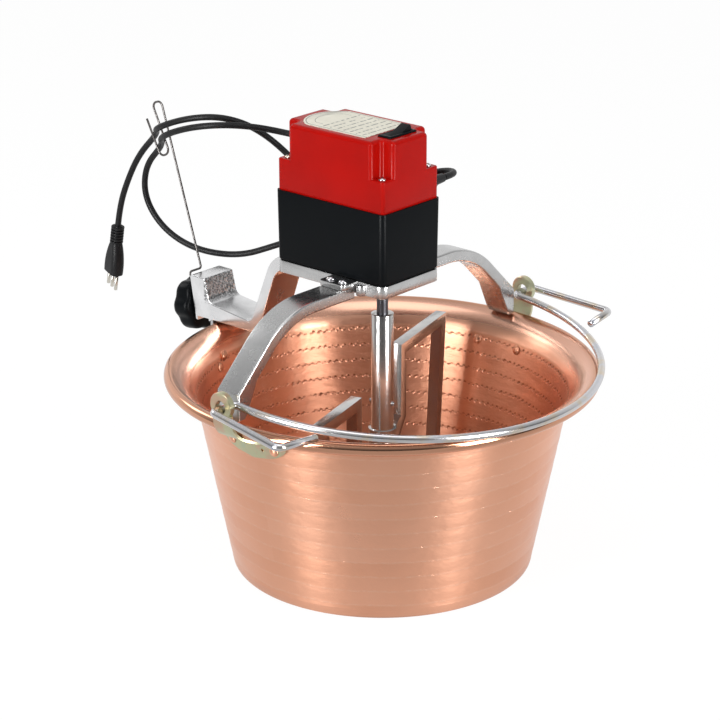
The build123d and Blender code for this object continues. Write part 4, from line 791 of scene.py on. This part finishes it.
def backdrop():
    """A white floor that keeps a soft shadow, and a white surround that metals can show."""
    bpy.ops.mesh.primitive_plane_add(size=30, location=(0, 0, 0))
    floor = bpy.context.object
    floor.name = "floor"
    material = bpy.data.materials.new("studio floor")
    material.use_nodes = True
    material.node_tree.nodes.clear()
    n = Nodes(material.node_tree)
    cloth = n.add("ShaderNodeBsdfDiffuse", Color=(0.86, 0.86, 0.86, 1))
    rays = n.add("ShaderNodeLightPath").outputs
    behind = towards_back(n, "Object")
    mirrored = n.ramp(behind, -0.35, 0.15, *FLOOR_MIRRORED)
    strength = n.between(rays["Is Glossy Ray"], FLOOR_SEEN, mirrored)
    glow = n.add("ShaderNodeEmission", Color=(1, 1, 1, 1), Strength=strength)
    seen = n.maths("MAXIMUM", rays["Is Camera Ray"], rays["Is Glossy Ray"])
    both = n.add("ShaderNodeMixShader")
    n.feed(both.inputs[0], n.maths("MULTIPLY", seen, FLOOR_GLOW))
    n.feed(both.inputs[1], cloth.outputs[0])
    n.feed(both.inputs[2], glow.outputs[0])
    n.feed(n.add("ShaderNodeOutputMaterial").inputs[0], both.outputs[0])
    floor.data.materials.append(material)

    world = bpy.data.worlds.new("studio")
    bpy.context.scene.world = world
    world.use_nodes = True
    world.node_tree.nodes.clear()
    n = Nodes(world.node_tree)
    rays = n.add("ShaderNodeLightPath").outputs
    height = n.parts(n.add("ShaderNodeTexCoord").outputs["Generated"])[2]
    round_it = n.ramp(towards_back(n, "Generated"), -0.1, 0.65, *SKY_MIRRORED)
    level = n.between(n.ramp(height, 0.25, 0.95), round_it, SKY_TOP_MIRRORED)
    level = n.between(rays["Is Glossy Ray"], SKY_LIGHT, level)
    level = n.maths("MAXIMUM", level, rays["Is Camera Ray"])
    sky = n.add("ShaderNodeBackground", Color=(1, 1, 1, 1), Strength=level)
    n.feed(n.add("ShaderNodeOutputWorld").inputs[0], sky.outputs[0])


def lamp(name, place, aim, width, height, watts, only_mirrored):
    """A softbox at a place, turned towards a point, which may show in shiny surfaces alone."""
    light = bpy.data.lights.new(name, "AREA")
    light.shape = "RECTANGLE"
    light.size = width
    light.size_y = height
    light.energy = watts
    holder = bpy.data.objects.new(name, light)
    bpy.context.scene.collection.objects.link(holder)
    holder.location = place
    holder.rotation_euler = (Vector(aim) - Vector(place)).to_track_quat("-Z", "Y").to_euler()
    holder.visible_diffuse = not only_mirrored


def camera():
    """The photograph's camera."""
    lens = bpy.data.cameras.new("camera")
    lens.lens = CAMERA_LENS
    lens.sensor_width = 36
    lens.shift_x, lens.shift_y = CAMERA_SHIFT
    lens.clip_end = 40
    eye = bpy.data.objects.new("camera", lens)
    bpy.context.scene.collection.objects.link(eye)
    right = Vector((cos(CAMERA_TURN), -sin(CAMERA_TURN), 0))
    level = Vector((-sin(CAMERA_TURN), -cos(CAMERA_TURN), 0))
    back = level * cos(CAMERA_RISE) + Vector((0, 0, sin(CAMERA_RISE)))
    up = back.cross(right)
    turned = Matrix((right, up, back)).transposed().to_4x4()
    eye.matrix_world = Matrix.Translation(CAMERA_PLACE) @ turned
    bpy.context.scene.camera = eye


# Pieces

def pot():
    """The copper shell as one smooth turned skin, with its rolled rim closed."""
    slope = (BREAK_R - BASE_R) / BREAK_Z
    roll = (RIM_R - ROLL_R, POT_HEIGHT - ROLL_R)
    lean = atan2(BREAK_R - BASE_R, BREAK_Z)
    corner = BASE_CORNER_R * tan(radians(45) - lean / 2)
    centre = (BASE_R - corner, BASE_CORNER_R)
    outer_start = -lean * 180 / pi
    profile = [(AXIS_R, 0.0)] + run((AXIS_R, 0.0), (centre[0], 0.0), 10)
    profile += arc(centre, BASE_CORNER_R, -90, outer_start, 8)
    profile += hammered_run(profile[-1], (BREAK_R, BREAK_Z))
    touch = radians(205)
    under = (roll[0] + ROLL_R * cos(touch), roll[1] + ROLL_R * sin(touch))
    profile += through((BREAK_R, BREAK_Z), (BREAK_R + 9 * MM, BREAK_Z + 7 * MM), under, 8)
    profile += arc(roll, ROLL_R, 215, 470, 30)
    lip = profile[-1]
    inner_top = (BREAK_R - WALL * cos(lean) - 13 * MM * slope, BREAK_Z - 12 * MM)
    profile += through(lip, (BREAK_R + 5.5 * MM, BREAK_Z + 8.6 * MM), inner_top, 14)[1:]
    inner_corner = (centre[0], BASE_CORNER_R)
    small = BASE_CORNER_R - WALL
    foot = arc(inner_corner, small, outer_start, -90, 8)
    profile += hammered_run(inner_top, foot[0]) + foot
    profile += run(foot[-1], (AXIS_R, WALL), 10) + [(AXIS_R, WALL)]
    mesh = spun([(max(r, AXIS_R), z) for r, z in profile], POT_STEPS)
    smooth(mesh, 40)
    return link("copper_pot", mesh, FINISH["copper"], "pot", "copper", "pot_shell", "rim_wire")


def eye_ring():
    """A flat ring whose hole holds the bail, turned about Z and centred on the origin."""
    half = EYE_THICK / 2
    soft = 0.8 * MM
    section = [(EYE_BORE_R, -half + soft), (EYE_BORE_R + soft, -half)]
    section += [(EYE_R - soft, -half), (EYE_R, -half + soft)]
    section += [(r, -z) for r, z in reversed(section)]
    ring = spun(section + section[:1], 64)
    for vert in ring.vertices:
        vert.co.x += EYE_BORE_DROP if Vector((vert.co.x, vert.co.y)).length < EYE_BORE_R + 1.5 * MM else 0.0
    return ring


def ear(name, side):
    """A plate on the pot's wall that narrows as it leans out under the rim, then turns up to its eye."""
    def wall(z):
        return BASE_R + (BREAK_R - BASE_R) * z / BREAK_Z + 0.15 * MM

    rows = []
    for i in range(13):
        z = EAR_LOW_Z + (EAR_TOP_Z - EAR_LOW_Z) * sin(pi / 2 * i / 12)
        climb = (EAR_TOP_Z - z) / (EAR_TOP_Z - EAR_LOW_Z)
        rows.append((wall(z), z, max(EAR_HALF * (1 - climb * climb) ** 0.5, 0.6 * MM), 1.0))
    rows += [(x * MM, z * MM, half * MM, hug) for x, z, half, hug in EAR_NECK]
    shape = bmesh.new()
    across = 20
    grid = []
    for x, z, half, hug in rows:
        line = []
        for j in range(across + 1):
            y = half * (2 * j / across - 1)
            bent = (x * x - y * y) ** 0.5
            line.append(shape.verts.new((side * (x + (bent - x) * hug), y, z)))
        grid.append(line)
    for low, high in zip(grid, grid[1:]):
        for j in range(across):
            shape.faces.new((low[j], low[j + 1], high[j + 1], high[j]))
    bmesh.ops.recalc_face_normals(shape, faces=shape.faces)
    mesh = bpy.data.meshes.new(name)
    shape.to_mesh(mesh)
    shape.free()
    if sum(face.normal.x for face in mesh.polygons) * side < 0:
        mesh.flip_normals()
    plate = bpy.data.objects.new(name, mesh)
    bpy.context.scene.collection.objects.link(plate)
    skin = plate.modifiers.new("thickness", "SOLIDIFY")
    skin.thickness = EAR_SHEET
    skin.offset = 1.0
    bore = bpy.data.objects.new("bore", eye_ring())
    bpy.context.scene.collection.objects.link(bore)
    for label, y, z, radius, squeeze in EAR_CUTS:
        ends = ((AXIS_R, -12), (radius * MM, -12), (radius * MM, 12), (AXIS_R, 12))
        cutter = spun([(r, height * MM) for r, height in ends], 32)
        turned = Matrix.Rotation(pi / 2, 4, "Y")
        stretch = Matrix.Diagonal((1.0, 1.0, squeeze, 1.0))
        cutter.transform(Matrix.Translation((side * wall(z * MM), y * MM, z * MM)) @ turned @ stretch)
        tool = bpy.data.objects.new(label, cutter)
        bpy.context.scene.collection.objects.link(tool)
        cut = plate.modifiers.new(label, "BOOLEAN")
        cut.operation = "DIFFERENCE"
        cut.object = tool
    view = bpy.context.evaluated_depsgraph_get()
    solid = bpy.data.meshes.new_from_object(plate.evaluated_get(view), depsgraph=view)
    ring = bore.data
    ring.transform(Matrix.Translation((side * EAR_X, 0, EYE_Z)) @ Matrix.Rotation(pi / 2, 4, "Y"))
    whole = bmesh.new()
    whole.from_mesh(solid)
    whole.from_mesh(ring)
    joined = bpy.data.meshes.new(name)
    whole.to_mesh(joined)
    whole.free()
    for tool in (plate, bore, bpy.data.objects["window"], bpy.data.objects["slot"]):
        bpy.data.objects.remove(tool)
    smooth(joined, 35)
    return link(f"{name}_dressed", joined, FINISH["zinc_yellow"], "pot", "zinc_yellow", name)


def knob():
    """A round black knob with seven shallow lobes, on the clamp screw's leaning axis."""
    mesh = spun([(max(r * KNOB_R, AXIS_R), z * KNOB_DEEPEN * MM) for r, z in KNOB_PROFILE], 196)
    for vert in mesh.vertices:
        reach = Vector((vert.co.x, vert.co.y)).length
        dip = (0.5 + 0.5 * cos(KNOB_LOBES * atan2(vert.co.y, vert.co.x))) ** 1.6 * KNOB_DIP
        share = max(0.0, reach / KNOB_R - 0.5) * 2
        vert.co.x *= 1 - dip * share / KNOB_R
        vert.co.y *= 1 - dip * share / KNOB_R
    axis = Vector((0, cos(KNOB_LEAN), -sin(KNOB_LEAN)))
    across = Vector((1, 0, 0))
    turned = Matrix((across, axis.cross(across), axis)).transposed().to_4x4()
    mesh.transform(Matrix.Translation(Vector(KNOB_FACE) + axis * KNOB_GAP) @ turned)
    smooth(mesh, 50)
    return link("lobed_knob", mesh, FINISH["black_plastic"], "knob", "black_plastic", "clamp_knob")


def bevelled(mesh, width):
    """Round a mesh's sharp edges, so that they catch the light."""
    holder = bpy.data.objects.new("holder", mesh)
    bpy.context.scene.collection.objects.link(holder)
    bevel = holder.modifiers.new("edges", "BEVEL")
    bevel.width = width
    bevel.segments = 2
    bevel.limit_method = "ANGLE"
    bevel.angle_limit = radians(38)
    bevel.use_clamp_overlap = True
    view = bpy.context.evaluated_depsgraph_get()
    rounded = bpy.data.meshes.new_from_object(holder.evaluated_get(view), depsgraph=view)
    bpy.data.objects.remove(holder)
    return rounded


def dressed(node, finish, bevel_mm=0.0, slot=None):
    """A frame node's shape with its doubles merged, its curves smooth and its edges rounded."""
    shape = bmesh.new()
    shape.from_mesh(frame["nodes"][node].data)
    bmesh.ops.remove_doubles(shape, verts=shape.verts, dist=MERGE_GAP)
    if bevel_mm:
        bmesh.ops.dissolve_limit(shape, angle_limit=radians(0.5), verts=shape.verts, edges=shape.edges)
    mesh = bpy.data.meshes.new(node)
    shape.to_mesh(mesh)
    shape.free()
    if bevel_mm:
        mesh = bevelled(mesh, bevel_mm * MM)
    smooth(mesh)
    body = frame["nodes"][node]["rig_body"]
    return link(f"{node}_dressed", mesh, FINISH[finish], body, slot or finish, node)


DRESSED = {
    "bail_rod": ("zinc", 0.0),
    "base_plate": ("cast_aluminium", 0.8),
    "arm_left": ("cast_aluminium", 0.5),
    "arm_right": ("cast_aluminium", 0.5),
    "clamp_arm": ("clamp_casting", 0.5, "cast_aluminium"),
    "clamp_screw": ("zinc", 0.0),
    "clamp_jaw": ("cast_aluminium", 0.4),
    "cable_hanger": ("hanger_wire", 0.0, "zinc"),
    "gearbox_case": ("black_plastic", 0.4),
    "motor_cover": ("red_plastic", 1.6),
    "label_plate": ("label", 0.0),
    "switch_body": ("black_plastic", 0.3),
    "switch_rocker": ("black_plastic", 0.3),
    "cable_gland": ("black_rubber", 0.2),
    "output_shaft": ("dark_steel", 0.3),
    "shaft_clip": ("dark_steel", 0.0),
    "stirrer": ("stirrer_casting", 1.0, "cast_aluminium"),
    "stirrer_pin": ("steel", 0.2),
    "plug_sleeve": ("black_rubber", 0.2),
    "plug_body": ("black_rubber", 0.4),
    "plug_pins": ("brass", 0.0),
}


def inner_pieces():
    """Every frame node that keeps its own mesh gets its finish."""
    slots = {entry["node"]: entry["material_slot"] for entry in frame["record"]["subparts"]}
    for node, thing in frame["nodes"].items():
        thing.data.materials.clear()
        thing.data.materials.append(FINISH[slots[node]])


def mains_cord():
    """The free cord, one smooth spline from the gland to the plug."""
    curve = bpy.data.curves.new("mains_lead", "CURVE")
    curve.dimensions = "3D"
    spline = curve.splines.new("NURBS")
    spline.points.add(len(CORD_ROUTE) - 1)
    for point, place in zip(spline.points, CORD_ROUTE):
        point.co = (*(value * MM for value in place), 1.0)
    spline.order_u = 3
    spline.use_endpoint_u = True
    spline.resolution_u = 12
    curve.bevel_depth = CORD_DIAMETER / 2
    curve.bevel_resolution = 6
    curve.use_fill_caps = True
    curve.materials.append(FINISH["black_rubber"])
    lead = bpy.data.objects.new("mains_lead", curve)
    bpy.context.scene.collection.objects.link(lead)
    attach(lead, "motor_unit")
    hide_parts("mains_cord")
    return lead


camera()
backdrop()
for softbox in LAMPS:
    lamp(*softbox)

inner_pieces()
pot()
ear("ear_plate_left", -1)
ear("ear_plate_right", 1)
knob()
screw = screw_tree()
rivet = rivet_tree()
for node, head, rise, radius, upright in SCREWS:
    screws(node, screw, head, rise, radius, upright)
for node, held in RIVETS:
    rivets(node, rivet, held)
pieces = {node: dressed(node, *look) for node, look in DRESSED.items()}
mains_cord()

bpy.context.scene.view_settings.view_transform = "Standard"
